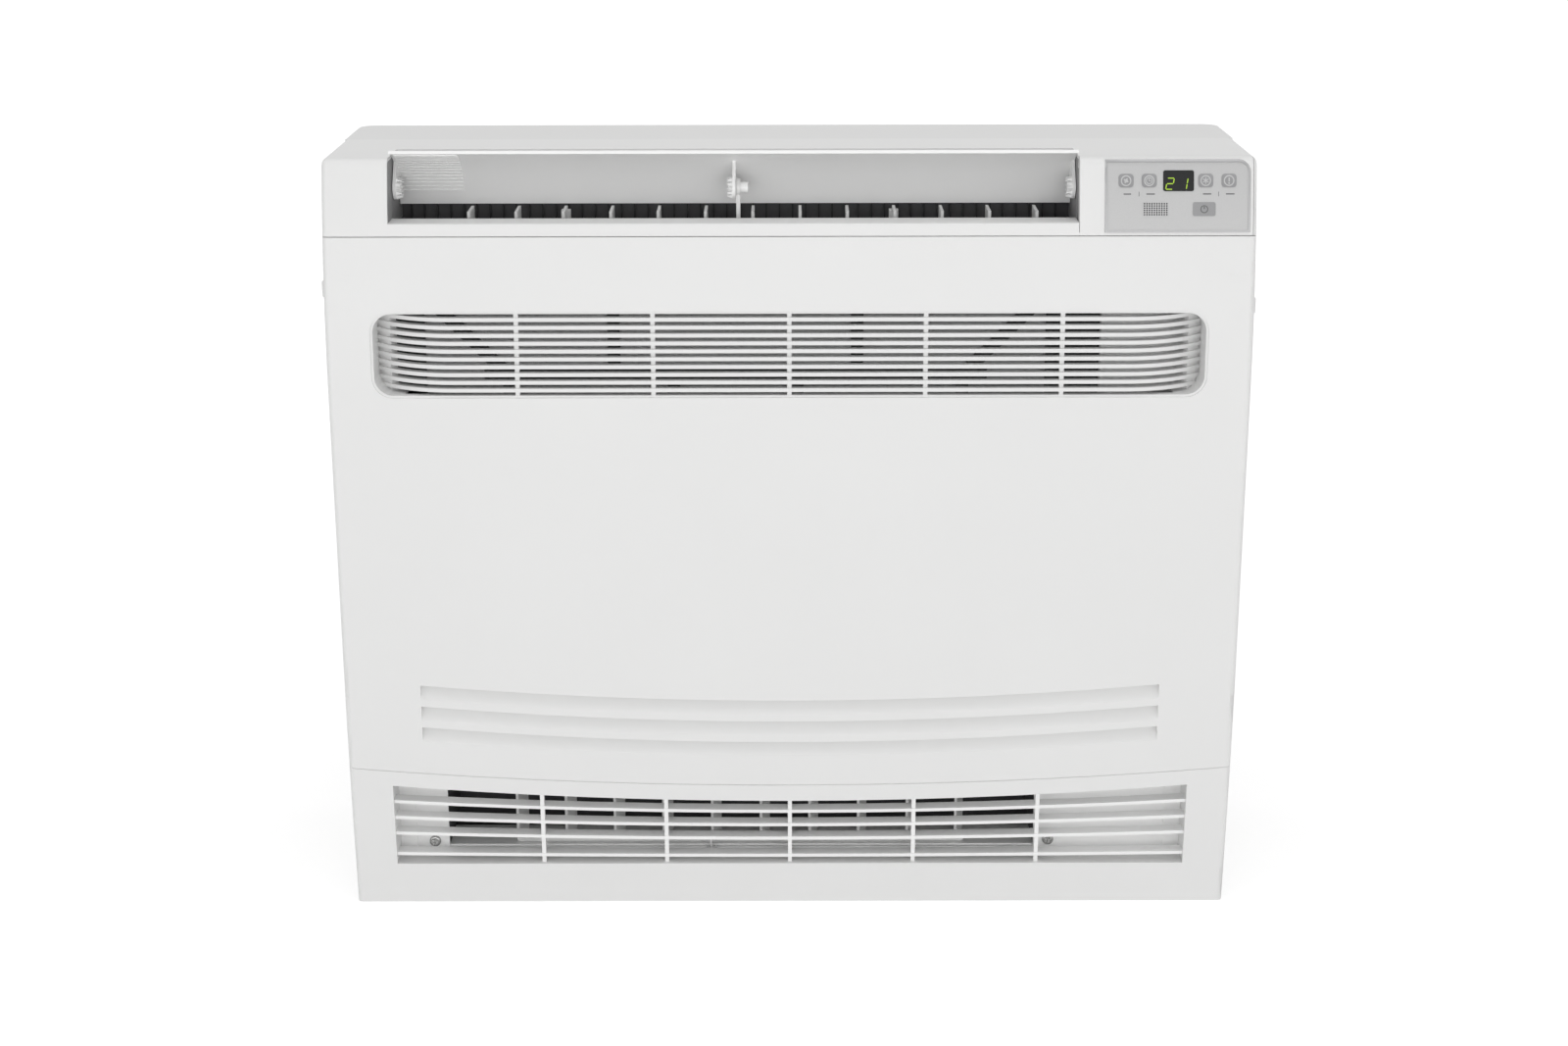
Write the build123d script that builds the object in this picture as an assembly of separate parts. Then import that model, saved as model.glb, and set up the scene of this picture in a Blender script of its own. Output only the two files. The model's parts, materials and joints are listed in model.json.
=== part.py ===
from build123d import *
import math
import os

os.makedirs("parts", exist_ok=True)

# Floor console air conditioner, millimetres.
# X runs to the right, Y to the back, Z up, with the origin under the middle of the cabinet.

# Cabinet
width = 700.0
depth = 210.0
height = 600.0
wall = 2.6
edge_radius = 4.0
crown_radius = 8.0

# Front profile: a flat belly over a foot that leans back, under a crown that leans back more
foot_set_back = 10.5
foot_rise = 210.0
crown_set_back = 24.6
crown_rise = 170.0

# Splits between the mouldings
seam_gap = 1.0
upper_gap = 0.7
top_cover_height = 56.5
lower_seam = 104.4
lower_seam_radius = 3800.0
seam_bevel = 12.0
flange_gap = 0.6
flange_thickness = 1.6
flange_drop = 4.0
return_depth = 35.0
chassis_depth = 82.0
chassis_inset = 1.0
chassis_corner = 12.0
fit_gap = 0.4

# Top outlet and its throat
outlet_left_margin = 49.4
outlet_right_margin = 132.6
notch_depth = 74.0
lip_drop = 47.0
lip_height = 7.0
lip_depth = 37.0
lip_round = 1.5
throat_depth = 52.0
throat_drop = 108.0
duct_wall = 2.0
cheek_wall = 2.6
cheek_height = 77.4
fin_pitch = 10.2
fin_depth = 3.0
fin_width = 1.0
fin_height = 56.0
vane_pitch = 36.0
vane_left_margin = 57.0
vane_right_margin = 20.0
vane_thickness = 2.2
vane_front_gap = 8.0
vane_rear_gap = 15.0
vane_height = 56.5
vane_bar_width = 8.0
vane_bar_height = 8.0
knob_size = 7.0
knob_drop = 2.5

# Flap that closes the top outlet, standing open
flap_pivot_back = 49.5
flap_pivot_drop = 25.7
flap_chord = 66.9
flap_rise = 11.0
flap_thickness = 2.5
flap_chord_angle = -42.6
flap_centre_back = 2.5
flap_centre_up = 6.1
flap_end_gap = 0.7
flap_ear = 2.4
flap_ear_radius = 8.8
flap_pin_radius = 4.2
flap_pin_end = 6.0
flap_rib_length = 48.0
flap_rib_pitch = 3.5
flap_rib_count = 15
flap_rib_width = 2.0
flap_rib_height = 0.8
pin_clearance = 0.05
support_lead = 11.0
support_width = 3.0
support_eye = 6.6
support_depth = 8.0

# Control panel on the right-hand shoulder
housing_depth = 9.0
plate_width = 108.8
plate_side_margin = 2.6
plate_foot_margin = 2.5
plate_top_margin = 1.4
plate_corner = 9.0
plate_thickness = 1.5
plate_proud = 0.5
trim_proud = 0.4
trim_corner = 1.5
display_offset = 54.8
display_width = 23.0
display_drop = 24.0
display_height = 15.0
indicator_offsets = [16.2, 33.4, 75.8, 93.2]
indicator_size = 11.5
indicator_drop = 22.8
receiver_offset = 37.8
receiver_width = 19.0
button_offset = 74.1
button_width = 17.0
lower_row_drop = 42.0
lower_row_height = 10.0

# Intake grille in the front panel
grille_margin = 34.0
grille_drop = 112.0
grille_height = 66.0
grille_corner = 16.0
slat_count = 10
slat_thickness = 2.9
slat_depth = 6.5
slat_bend_length = 61.0
slat_bend_radius = 79.0
grille_ribs_per_side = 2
grille_rib_margin = 49.0
grille_rib_width = 3.4
grille_rib_front = 1.6
grille_rib_rear = 5.2
grille_rim = 1.8
grille_rim_depth = 8.0
grille_rim_end = 24.0
grille_cheek_length = 11.5
grille_cheek_front = 1.4
grille_cheek_rear = 8.0

# Curved slots low on the front panel
slot_margin = 60.0
slot_count = 3
slot_first = 37.3
slot_pitch = 17.65
slot_radius = 3186.0
slot_height = 11.5
slot_depth = 8.0
slot_wall = 2.0

# Hinge of the front panel
hinge_back = 15.0
hinge_drop = 16.4
hinge_pin_radius = 2.5
hinge_boss = 5.0
lug_margin = 13.0
lug_width = 10.0
lug_rear = 14.0

# Latches on the sides of the front panel
latch_travel = 14.0
latch_height = 13.0
latch_width = 12.0
latch_proud = 2.5
latch_drop = 90.0
latch_back = 20.0
latch_stem = 5.0
latch_head = 9.0
latch_head_thickness = 1.5
latch_gap = 0.3

# Lower outlet
recess_margin = 34.0
recess_low = 34.7
recess_drop = 13.8
recess_radius = 3618.0
recess_wall = 2.0
recess_depth = 33.0
back_plate = 2.6
end_step = 1.2
end_step_width = 13.0
port_left_margin = 73.0
port_right_margin = 152.0
port_foot = 3.3
port_height = 50.0
bar_drops = [10.6, 22.6, 34.6, 50.1]
bar_end_rises = [9.0, 7.0, 5.0, 2.0]
bar_thickness = 2.6
bar_depth = 12.0
bar_set_back = 3.0
bar_ribs_per_side = 2
bar_rib_margin = 118.0
bar_rib_width = 3.2
bar_rib_depth = 6.0
bar_rib_inset = 0.8
lower_duct_depth = 79.4
lower_duct_height = 102.0
lower_duct_bend = 40.0
duct_floor_thickness = 1.5
duct_floor_depth = 38.0
lower_vane_margin = 58.0
lower_vane_pitch = 39.7
lower_vane_gap = 7.4
lower_vane_depth = 20.0
lower_vane_height = 44.0
lower_vane_turn = -18.0
rod_size = 3.0
rod_height = 0.3

# Inner pieces behind the intake grille
bulkhead_back = 53.0
bulkhead = 2.0
bulkhead_low = 130.0
bulkhead_drop = 80.0
filter_margin = 10.0
filter_low = 181.0
filter_lap = 6.0
mesh_thickness = 1.0
filter_bar = 9.3
filter_thickness = 4.0
filter_band_drop = 171.6
filter_band_margin = 59.0
filter_brace_margin = 73.0
filter_upright = 94.0
filter_lower_upright = 48.0
coil_depth = 26.0
box_margin = 110.0
box_low = 150.0
box_drop = 88.0
box_depth = 9.0

# Base and back
base_thickness = 3.0
screw_hole_radius = 3.0
screw_margin = 50.0
screw_low = 70.0
screw_drop = 60.0
hook_margin = 150.0
hook_drop = 100.0
hook_width = 30.0
hook_height = 8.0
knockout_radius = 32.0
knockout_depth = 0.8
knockout_margin = 110.0
knockout_height = 75.0

# Places that follow from the sizes above
half = width / 2
inner_half = half - wall
front = -depth / 2
rear = depth / 2
belly_high = height - crown_rise
foot_radius = (foot_rise**2 + foot_set_back**2) / (2 * foot_set_back)
crown_arc_radius = (crown_rise**2 + crown_set_back**2) / (2 * crown_set_back)
upper_seam = height - top_cover_height
return_rear = front + return_depth
panel_rear = return_rear - seam_gap
cover_rear = rear - chassis_depth
outlet_left = -half + outlet_left_margin
outlet_right = half - outlet_right_margin
outlet_middle = (outlet_left + outlet_right) / 2
reach = width + height
overcut = 1.0


def front_y(z, inset=0.0):
    """Y of the cabinet's front at height z, or of a wall that lies inset behind it."""
    if z < foot_rise:
        radius = foot_radius
        rise = foot_rise - z
    elif z > belly_high:
        radius = crown_arc_radius
        rise = z - belly_high
    else:
        return front + inset
    return front + radius - math.sqrt((radius - inset) ** 2 - rise**2)


def block(x0, x1, y0, y1, z0, z1):
    """Box between two corners."""
    middle = Pos((x0 + x1) / 2, (y0 + y1) / 2, (z0 + z1) / 2)
    return middle * Box(x1 - x0, y1 - y0, z1 - z0)


def side_prism(face, x0, x1):
    """Face drawn in Y and Z, carried from x0 to x1."""
    plane = Plane(origin=(x0, 0, 0), x_dir=(0, 1, 0), z_dir=(1, 0, 0))
    return extrude(plane * face, amount=x1 - x0)


def front_prism(face, y0, y1):
    """Face drawn in X and Z, carried from y0 back to y1."""
    plane = Plane(origin=(0, y1, 0), x_dir=(1, 0, 0), z_dir=(0, -1, 0))
    return extrude(plane * face, amount=y1 - y0)


def outline(*points):
    """Closed face through points."""
    return make_face(Polyline(*points, close=True))


def pin(radius, x0, x1, y, z):
    """Round pin along X."""
    plane = Plane(origin=(x0, y, z), x_dir=(0, 1, 0), z_dir=(1, 0, 0))
    return extrude(plane * Circle(radius), amount=x1 - x0)


def envelope(inset, half_width, y_rear):
    """The cabinet's outer form, its front and top moved in by inset."""
    top = height - inset
    foot = (front_y(0, inset), 0)
    low = (front + inset, foot_rise)
    high = (front + inset, belly_high)
    crown = (front_y(top, inset), top)
    low_mid = (front_y(foot_rise / 2, inset), foot_rise / 2)
    high_mid_z = (belly_high + top) / 2
    high_mid = (front_y(high_mid_z, inset), high_mid_z)
    edges = Curve() + [
        ThreePointArc(foot, low_mid, low),
        Line(low, high),
        ThreePointArc(high, high_mid, crown),
        Line(crown, (y_rear, top)),
        Line((y_rear, top), (y_rear, 0)),
        Line((y_rear, 0), foot),
    ]
    face = make_face(edges)
    if inset < crown_radius:
        corner = face.vertices().sort_by_distance(Vector(*crown, 0))[0]
        face = fillet(corner, crown_radius - inset)
    return side_prism(face, -half_width, half_width)


def rounded_envelope(y_rear):
    """Outer form with its long side edges rounded."""
    solid = envelope(0, half, y_rear)
    rim = solid.faces().filter_by(Axis.X).edges()
    soft = rim.filter_by(lambda e: e.center().Y < y_rear - overcut and e.center().Z > overcut)
    return fillet(soft, edge_radius)


def skin(y_rear):
    """Wall of the cabinet's front, top and sides."""
    return rounded_envelope(y_rear) - envelope(wall, half - wall, y_rear + wall)


def sag(radius, x):
    """Rise of an upward-curving arc at a distance x from its middle."""
    return radius - math.sqrt(radius**2 - x**2)


def arc_band(z_low, z_high, radius, half_width):
    """Face between two upward-curving arcs of one radius, drawn in X and Z."""
    rise = sag(radius, half_width)
    edges = Curve() + [
        ThreePointArc((-half_width, z_low + rise), (0, z_low), (half_width, z_low + rise)),
        Line((half_width, z_low + rise), (half_width, z_high + rise)),
        ThreePointArc((half_width, z_high + rise), (0, z_high), (-half_width, z_high + rise)),
        Line((-half_width, z_high + rise), (-half_width, z_low + rise)),
    ]
    return make_face(edges)


def swept_across(points, radius, bottom):
    """Solid whose section in Y and Z is turned about a level axis far above it."""
    section = Plane.YZ * outline(*points)
    axis = Axis((0, 0, bottom + radius), (0, 1, 0))
    spread = math.degrees(math.asin((half + edge_radius) / radius))
    return revolve(section.rotate(axis, -spread), axis, 2 * spread)


def below_seam(shift):
    """Everything under the curved seam between front panel and lower cover."""
    face_y = front_y(lower_seam)
    ahead = face_y - front + seam_bevel
    z = lower_seam + shift
    floor = -sag(lower_seam_radius, half + edge_radius) - seam_bevel
    points = [
        (face_y - ahead, z - ahead),
        (face_y + seam_bevel, z + seam_bevel),
        (cover_rear, z + seam_bevel),
        (cover_rear, floor),
        (face_y - ahead, floor),
    ]
    return swept_across(points, lower_seam_radius, lower_seam)


def depth_layer(near, far):
    """Layer of the cabinet's front between two depths."""
    return envelope(near, half, cover_rear) - envelope(far, half, cover_rear + wall)


def seam_flange(x0, x1, top):
    """Strip behind the front panel's upper edge that closes the seam from inside."""
    near = wall + flange_gap
    strip = depth_layer(near, near + flange_thickness)
    return strip & block(x0, x1, front, return_rear, upper_seam - flange_drop, top)


nodes = {}

# Top cover: shoulders, top plate and the lip in front of the outlet
notch_rear = front + notch_depth
lip_top = height - lip_drop
lip_low = lip_top - lip_height
lip_rear = front + lip_depth
top_cover = skin(cover_rear) & block(-half, half, front, cover_rear, upper_seam + upper_gap / 2, height)
top_cover -= block(outlet_left, outlet_right, front, notch_rear, lip_top, height + overcut)
top_cover -= block(outlet_right, half - wall, front, return_rear, upper_seam, height + overcut)
lip = envelope(0, half, lip_rear) & block(
    outlet_left, outlet_right - fit_gap, front, lip_rear, lip_low, lip_top
)
lip_edge = lip.faces().sort_by(Axis.Z)[-1].edges().sort_by(Axis.Y)[0]
lip = fillet(lip_edge, lip_round)
top_cover -= block(outlet_left, outlet_right, front, return_rear, lip_low, lip_top + overcut)
top_cover += lip + seam_flange(seam_gap - inner_half, outlet_right - fit_gap, lip_low + overcut)
nodes["top_cover"] = top_cover

# Control housing: the right-hand front shoulder
housing = rounded_envelope(cover_rear) - envelope(housing_depth, half, cover_rear + wall)
housing &= block(
    outlet_right,
    half - wall - fit_gap,
    front,
    return_rear - fit_gap,
    upper_seam + upper_gap / 2,
    height,
)
plate_right = half - wall - plate_side_margin
plate_left = plate_right - plate_width
plate_low = upper_seam + plate_foot_margin
plate_high = height - plate_top_margin
plate_face = Pos((plate_left + plate_right) / 2, (plate_low + plate_high) / 2) * Rectangle(
    plate_width, plate_high - plate_low
)
plate_tip = plate_face.vertices().sort_by(Axis.X)[-2:].sort_by(Axis.Y)[-1]
plate_face = fillet(plate_tip, plate_corner)


def on_shoulder(face, base, proud):
    """Thin plate in the outline of face, lying along the shoulder."""
    layer = envelope(-proud, half, cover_rear) - envelope(-base, half, cover_rear + wall)
    return layer & front_prism(face, front - proud, return_rear)


plate_base = plate_proud - plate_thickness
housing -= on_shoulder(plate_face, plate_base, overcut)
housing += seam_flange(outlet_right + fit_gap, inner_half - seam_gap, upper_seam + housing_depth)
nodes["control_housing"] = housing
nodes["control_panel"] = on_shoulder(plate_face, plate_base, plate_proud)


def trim_piece(offset_x, drop, piece_width, piece_height):
    """Small rounded window or button on the control panel."""
    centre = Pos(plate_left + offset_x, height - drop + piece_height / 2)
    face = centre * RectangleRounded(piece_width, piece_height, trim_corner)
    return on_shoulder(face, plate_proud, plate_proud + trim_proud)


def indicator(offset_x):
    """Square light window with its corners cut."""
    centre = Pos(plate_left + offset_x, height - indicator_drop + indicator_size / 2)
    square = Rectangle(indicator_size, indicator_size)
    square = chamfer(square.vertices(), trim_corner)
    return on_shoulder(centre * square, plate_proud, plate_proud + trim_proud)


nodes["display_window"] = trim_piece(display_offset, display_drop, display_width, display_height)
nodes["receiver_window"] = trim_piece(receiver_offset, lower_row_drop, receiver_width, lower_row_height)
nodes["power_button"] = trim_piece(button_offset, lower_row_drop, button_width, lower_row_height)
nodes["indicator_windows"] = Compound(children=[indicator(x) for x in indicator_offsets])

# End cheeks of the top outlet, which carry the flap's pins
throat_rear = lip_rear + throat_depth
throat_floor = height - throat_drop
flap_y = front + flap_pivot_back
flap_z = height - flap_pivot_drop
flap_bore = flap_pin_radius + pin_clearance
cheek_top = height - wall


def outlet_cheek(x0, y0):
    """Upright plate at one end of the outlet, bored for the flap's pin."""
    plate = block(x0, x0 + cheek_wall, y0, throat_rear, cheek_top - cheek_height, cheek_top)
    plate &= envelope(wall, half, cover_rear)
    return plate - pin(flap_bore, x0 - overcut, x0 + cheek_wall + overcut, flap_y, flap_z)


left_cheek = outlet_cheek(outlet_left - cheek_wall, front)
left_cheek -= block(-half, outlet_left + overcut, front, lip_rear, 0, lip_top)
nodes["outlet_cheek_left"] = left_cheek
nodes["outlet_cheek_right"] = outlet_cheek(outlet_right, return_rear)

# Throat under the top outlet, with fins on its rear wall
throat_left = outlet_left + duct_wall
throat_right = outlet_right - duct_wall
throat_back = throat_rear + duct_wall
throat_low = throat_floor - duct_wall
throat = block(outlet_left, outlet_right, lip_rear - duct_wall, throat_back, throat_low, lip_low)
throat -= block(throat_left, throat_right, lip_rear, throat_rear, throat_floor, height)
throat += block(outlet_left, outlet_right, throat_rear, throat_back, throat_low, cheek_top)
nodes["throat_duct"] = throat

vane_foot = throat_floor + vane_bar_height
vane_top = vane_foot + vane_height
fin_front = throat_rear - fin_depth
fins = []
for index in range(int((throat_right - throat_left) / fin_pitch)):
    x = throat_left + (index + 0.5) * fin_pitch
    fins.append(block(x, x + fin_width, fin_front, throat_rear, vane_foot, vane_foot + fin_height))
nodes["throat_fins"] = Compound(children=fins)

# Upright blades of the upper air stream, in two rows on one bar
vane_front = lip_rear + vane_front_gap
vane_rear = throat_rear - vane_rear_gap
bar_middle = (vane_front + vane_rear) / 2
nodes["vane_bar"] = block(
    throat_left,
    throat_right,
    bar_middle - vane_bar_width / 2,
    bar_middle + vane_bar_width / 2,
    throat_floor,
    vane_foot,
)
vane_span = outlet_right - outlet_left - vane_left_margin - vane_right_margin
vane_count = int(vane_span / vane_pitch) + 1
left_vane_count = (vane_count + 1) // 2
vane_first = outlet_left + vane_left_margin


def upper_vane(index, tabbed):
    """Upright blade that turns the upper air stream, one in each row with a finger tab."""
    x = vane_first + index * vane_pitch
    side = vane_thickness / 2
    blade = block(x - side, x + side, vane_front, vane_rear, vane_foot, vane_top)
    if tabbed:
        side = knob_size / 2
        top = vane_top - knob_drop
        blade += block(x - side, x + side, vane_rear - knob_size, vane_rear, top - knob_size, top)
    return blade


def vane_row(first, last):
    """Row of blades whose third has the tab."""
    return Compound(children=[upper_vane(index, index == first + 2) for index in range(first, last)])


nodes["upper_vanes_left"] = vane_row(0, left_vane_count)
nodes["upper_vanes_right"] = vane_row(left_vane_count, vane_count)

# Flap: a curved plate on two end pins and one middle pin
chord_turn = math.radians(flap_chord_angle)
chord_dir = Vector(math.cos(chord_turn), math.sin(chord_turn))
chord_up = Vector(-math.sin(chord_turn), math.cos(chord_turn))
flap_pivot = Vector(flap_y, flap_z)
flap_middle = flap_pivot + Vector(flap_centre_back, flap_centre_up)
flap_radius = ((flap_chord / 2) ** 2 + flap_rise**2) / (2 * flap_rise)
flap_centre = flap_middle + chord_up * (flap_rise - flap_radius)
flap_half_turn = math.asin(flap_chord / 2 / flap_radius)


def flap_point(radius, turn):
    """Point on the flap's section, turned from the middle of its arc."""
    return flap_centre + chord_up * (radius * math.cos(turn)) + chord_dir * (radius * math.sin(turn))


def flap_section(inner, outer, turn_low, turn_high):
    """Face between two arcs about the flap's own centre."""
    middle = (turn_low + turn_high) / 2
    edges = Curve() + [
        ThreePointArc(flap_point(inner, turn_low), flap_point(inner, middle), flap_point(inner, turn_high)),
        Line(flap_point(inner, turn_high), flap_point(outer, turn_high)),
        ThreePointArc(flap_point(outer, turn_high), flap_point(outer, middle), flap_point(outer, turn_low)),
        Line(flap_point(outer, turn_low), flap_point(inner, turn_low)),
    ]
    return make_face(edges)


flap_outer = flap_radius + flap_thickness
flap_left = outlet_left + flap_end_gap
flap_right = outlet_right - flap_end_gap
flap_pieces = [
    side_prism(flap_section(flap_radius, flap_outer, -flap_half_turn, flap_half_turn), flap_left, flap_right)
]
ear_foot = flap_point(flap_radius + flap_thickness / 2, 0)
ear_run = (ear_foot - flap_pivot).normalized() * flap_ear_radius
ear_side = Vector(-ear_run.Y, ear_run.X)
ear_face = outline(flap_pivot + ear_side, ear_foot + ear_side, ear_foot - ear_side, flap_pivot - ear_side)


def flap_ear_at(x0):
    """Rounded web that joins the plate to its pin."""
    web = side_prism(ear_face, x0, x0 + flap_ear) + pin(flap_ear_radius, x0, x0 + flap_ear, flap_y, flap_z)
    return web & pin(flap_outer, x0, x0 + flap_ear, flap_centre.X, flap_centre.Y)


support_x = vane_first + (left_vane_count - 1) * vane_pitch - support_lead
support_low = support_x - support_width / 2
support_high = support_x + support_width / 2
middle_ear = support_low - fit_gap - flap_ear
for x0 in (flap_left, middle_ear, flap_right - flap_ear):
    flap_pieces.append(flap_ear_at(x0))
flap_pieces.append(pin(flap_pin_radius, outlet_left - cheek_wall, flap_left + flap_ear, flap_y, flap_z))
flap_pieces.append(pin(flap_pin_radius, middle_ear, support_high + flap_pin_end, flap_y, flap_z))
flap_pieces.append(pin(flap_pin_radius, flap_right - flap_ear, outlet_right + cheek_wall, flap_y, flap_z))
rib_left = flap_left + flap_ear
rib_turn = flap_rib_width / flap_radius
rib_inner = flap_radius - flap_rib_height
rib_outer = flap_radius + flap_thickness / 2
for index in range(flap_rib_count):
    turn = (index - (flap_rib_count - 1) / 2) * flap_rib_pitch / flap_radius
    section = flap_section(rib_inner, rib_outer, turn - rib_turn / 2, turn + rib_turn / 2)
    flap_pieces.append(side_prism(section, rib_left, rib_left + flap_rib_length))
nodes["outlet_flap"] = flap_pieces[0].fuse(*flap_pieces[1:])

support_front = flap_y - support_depth / 2
support_rear = flap_y + support_depth / 2
support = block(support_low, support_high, support_front, support_rear, vane_foot, flap_z)
support += block(support_low, support_high, lip_rear, flap_y, vane_foot, vane_foot + support_depth)
support += pin(support_eye, support_low, support_high, flap_y, flap_z)
support -= pin(flap_bore, support_low - overcut, support_high + overcut, flap_y, flap_z)
nodes["flap_support"] = support

# Front panel: a curved tray with the intake opening, three slots and two hinge lugs
grille_half = half - grille_margin
grille_high = height - grille_drop
grille_low = grille_high - grille_height
grille_face = Pos(0, (grille_low + grille_high) / 2) * RectangleRounded(
    2 * grille_half, grille_height, grille_corner
)
panel_low = lower_seam - seam_bevel
panel = skin(panel_rear) & block(-half, half, front, panel_rear, panel_low, upper_seam - upper_gap / 2)
panel -= front_prism(grille_face, front - wall, return_rear)
slot_half = half - slot_margin
slot_tops = [lower_seam + slot_first + index * slot_pitch for index in range(slot_count)]


def slot_wedge(top, grow):
    """Curved wedge, deepest at its upper edge; grow makes the wall around it."""
    y = front_y(top)
    points = [
        (y - slot_depth, top + grow),
        (y + slot_depth + grow, top + grow),
        (y + grow, top - slot_height - grow),
        (y - slot_depth, top - slot_height - grow),
    ]
    wedge = swept_across(points, slot_radius, top)
    return wedge & block(-slot_half - grow, slot_half + grow, front - reach, cover_rear, 0, height)


for top in slot_tops:
    panel += slot_wedge(top, slot_wall) & envelope(wall / 2, half - wall, cover_rear)
for top in slot_tops:
    panel -= slot_wedge(top, 0)
panel -= below_seam(seam_gap / 2)

hinge_y = front + hinge_back
hinge_z = lower_seam - hinge_drop
hinge_bore = hinge_pin_radius + pin_clearance
lug_low = lower_seam + sag(lower_seam_radius, half) + wall + 2 * seam_gap
lug_high = lug_low + lug_width
neck = hinge_y + lug_rear - hinge_boss
lug_face = outline(
    (hinge_y, hinge_z + hinge_boss / 2),
    (neck, lug_low - seam_gap),
    (neck, lug_low),
    (front_y(lug_low, wall / 2), lug_low),
    (front_y(lug_high, wall / 2), lug_high),
    (hinge_y + lug_rear, lug_high),
    (hinge_y + lug_rear, lug_low - lug_width),
    (hinge_y + hinge_boss, hinge_z),
)
lug_outer = half - lug_margin
lug_inner = lug_outer - lug_width
for x0 in (-lug_outer, lug_inner):
    lug = side_prism(lug_face, x0, x0 + lug_width)
    lug += pin(hinge_boss, x0, x0 + lug_width, hinge_y, hinge_z)
    lug -= pin(hinge_bore, x0 - overcut, x0 + lug_width + overcut, hinge_y, hinge_z)
    panel += lug

# Latches in the panel's sides
latch_y = front + latch_back
latch_top = height - latch_drop
latch_middle = latch_top - latch_height / 2
slot_side = latch_stem / 2 + latch_gap
panel -= block(
    -half - overcut,
    half + overcut,
    latch_y - slot_side,
    latch_y + slot_side,
    latch_middle - latch_travel - slot_side,
    latch_middle + slot_side,
)
nodes["front_panel"] = panel


def latch(side, middle):
    """Sliding catch: a knob outside, a stem through the panel and a head inside."""
    knob_inner = half + latch_gap
    knob_outer = half + latch_proud
    head_outer = half - wall - latch_gap
    head_inner = head_outer - latch_head_thickness

    def plate(x0, x1, across, tall):
        return block(x0, x1, latch_y - across / 2, latch_y + across / 2, middle - tall / 2, middle + tall / 2)

    knob = plate(knob_inner, knob_outer, latch_width, latch_height)
    knob = chamfer(knob.faces().sort_by(Axis.X)[-1].edges(), (knob_outer - knob_inner) / 2)
    catch = knob + plate(head_inner, knob_inner, latch_stem, latch_stem)
    catch += plate(head_inner, head_outer, latch_head, latch_head)
    if side < 0:
        catch = mirror(catch, Plane.YZ)
    return catch


nodes["latch_left"] = latch(-1, latch_middle)
nodes["latch_right"] = latch(1, latch_middle - latch_travel)

# Intake grille: level slats whose ends sweep back, on upright ribs
bend_start = grille_half - slat_bend_length
bend_turn = math.asin(slat_bend_length / slat_bend_radius)


def bent_strip(y, near, far, turn_start, turn_end):
    """Right-hand bent strip in X and Y, from near to far behind the slats' front edge."""
    outer = slat_bend_radius - near
    inner = slat_bend_radius - far
    centre = Vector(bend_start, y + slat_bend_radius)

    def at(radius, turn):
        return centre + Vector(radius * math.sin(turn), -radius * math.cos(turn))

    middle = (turn_start + turn_end) / 2
    edges = Curve() + [
        ThreePointArc(at(outer, turn_start), at(outer, middle), at(outer, turn_end)),
        Line(at(outer, turn_end), at(inner, turn_end)),
        ThreePointArc(at(inner, turn_end), at(inner, middle), at(inner, turn_start)),
        Line(at(inner, turn_start), at(outer, turn_start)),
    ]
    return make_face(edges)


def slat(z):
    """One level slat, straight in the middle with both ends bent back."""
    y = front_y(z)
    straight = Pos(0, y + slat_depth / 2) * Rectangle(2 * bend_start, slat_depth)
    bent = bent_strip(y, 0, slat_depth, 0, bend_turn)
    face = straight + bent + mirror(bent, Plane.YZ)
    return extrude(Pos(0, 0, z - slat_thickness / 2) * face, amount=slat_thickness)


def grille_rib(x):
    """Upright that ties the slats together and leans with the panel."""
    low_y = front_y(grille_low)
    high_y = front_y(grille_high)
    face = outline(
        (low_y + grille_rib_front, grille_low),
        (low_y + grille_rib_rear, grille_low),
        (high_y + grille_rib_rear, grille_high),
        (high_y + grille_rib_front, grille_high),
    )
    return side_prism(face, x - grille_rib_width / 2, x + grille_rib_width / 2)


slat_pitch = grille_height / (slat_count + 1)
grille_rib_spacing = (bend_start - grille_rib_margin) / grille_ribs_per_side
grille_pieces = [slat(grille_low + (index + 1) * slat_pitch) for index in range(slat_count)]
for index in range(-grille_ribs_per_side, grille_ribs_per_side + 1):
    grille_pieces.append(grille_rib(index * grille_rib_spacing))
cheek_start = math.asin((slat_bend_length - grille_cheek_length) / slat_bend_radius)
cheek_end = math.asin((slat_bend_length - grille_rim / 2) / (slat_bend_radius - grille_cheek_front))
cheek_rear = front + slat_bend_radius * (1 - math.cos(bend_turn)) + slat_depth
cheek_foot = front_y(grille_low)
cheek_run = Vector(0, front_y(grille_high) - cheek_foot, grille_height)
curve = bent_strip(cheek_foot, grille_cheek_front, grille_cheek_rear, cheek_start, cheek_end)
cheek = extrude(Pos(0, 0, grille_low) * curve, amount=cheek_run.length, dir=cheek_run.normalized())
grille_pieces.append(cheek)
grille_pieces.append(mirror(cheek, Plane.YZ))
rim_middle = offset(grille_face, -grille_rim / 2)
rim_face = grille_face - offset(grille_face, -grille_rim)
rim = front_prism(rim_face, front, cheek_rear) & envelope(wall / 2, half, cover_rear)
rim -= envelope(grille_rim_depth, grille_half - grille_rim_end, cover_rear)
grille = grille_pieces[0].fuse(*grille_pieces[1:])
grille &= front_prism(rim_middle, front - wall, cover_rear)
nodes["intake_grille"] = grille + rim

# Lower cover with the recess of the lower outlet
recess_half = half - recess_margin
recess_high = lower_seam - recess_drop
recess_rear = front + recess_depth
cover_low = skin(return_rear) & block(-half, half, front, return_rear, 0, upper_seam)
cover_low &= below_seam(-seam_gap / 2)


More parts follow.
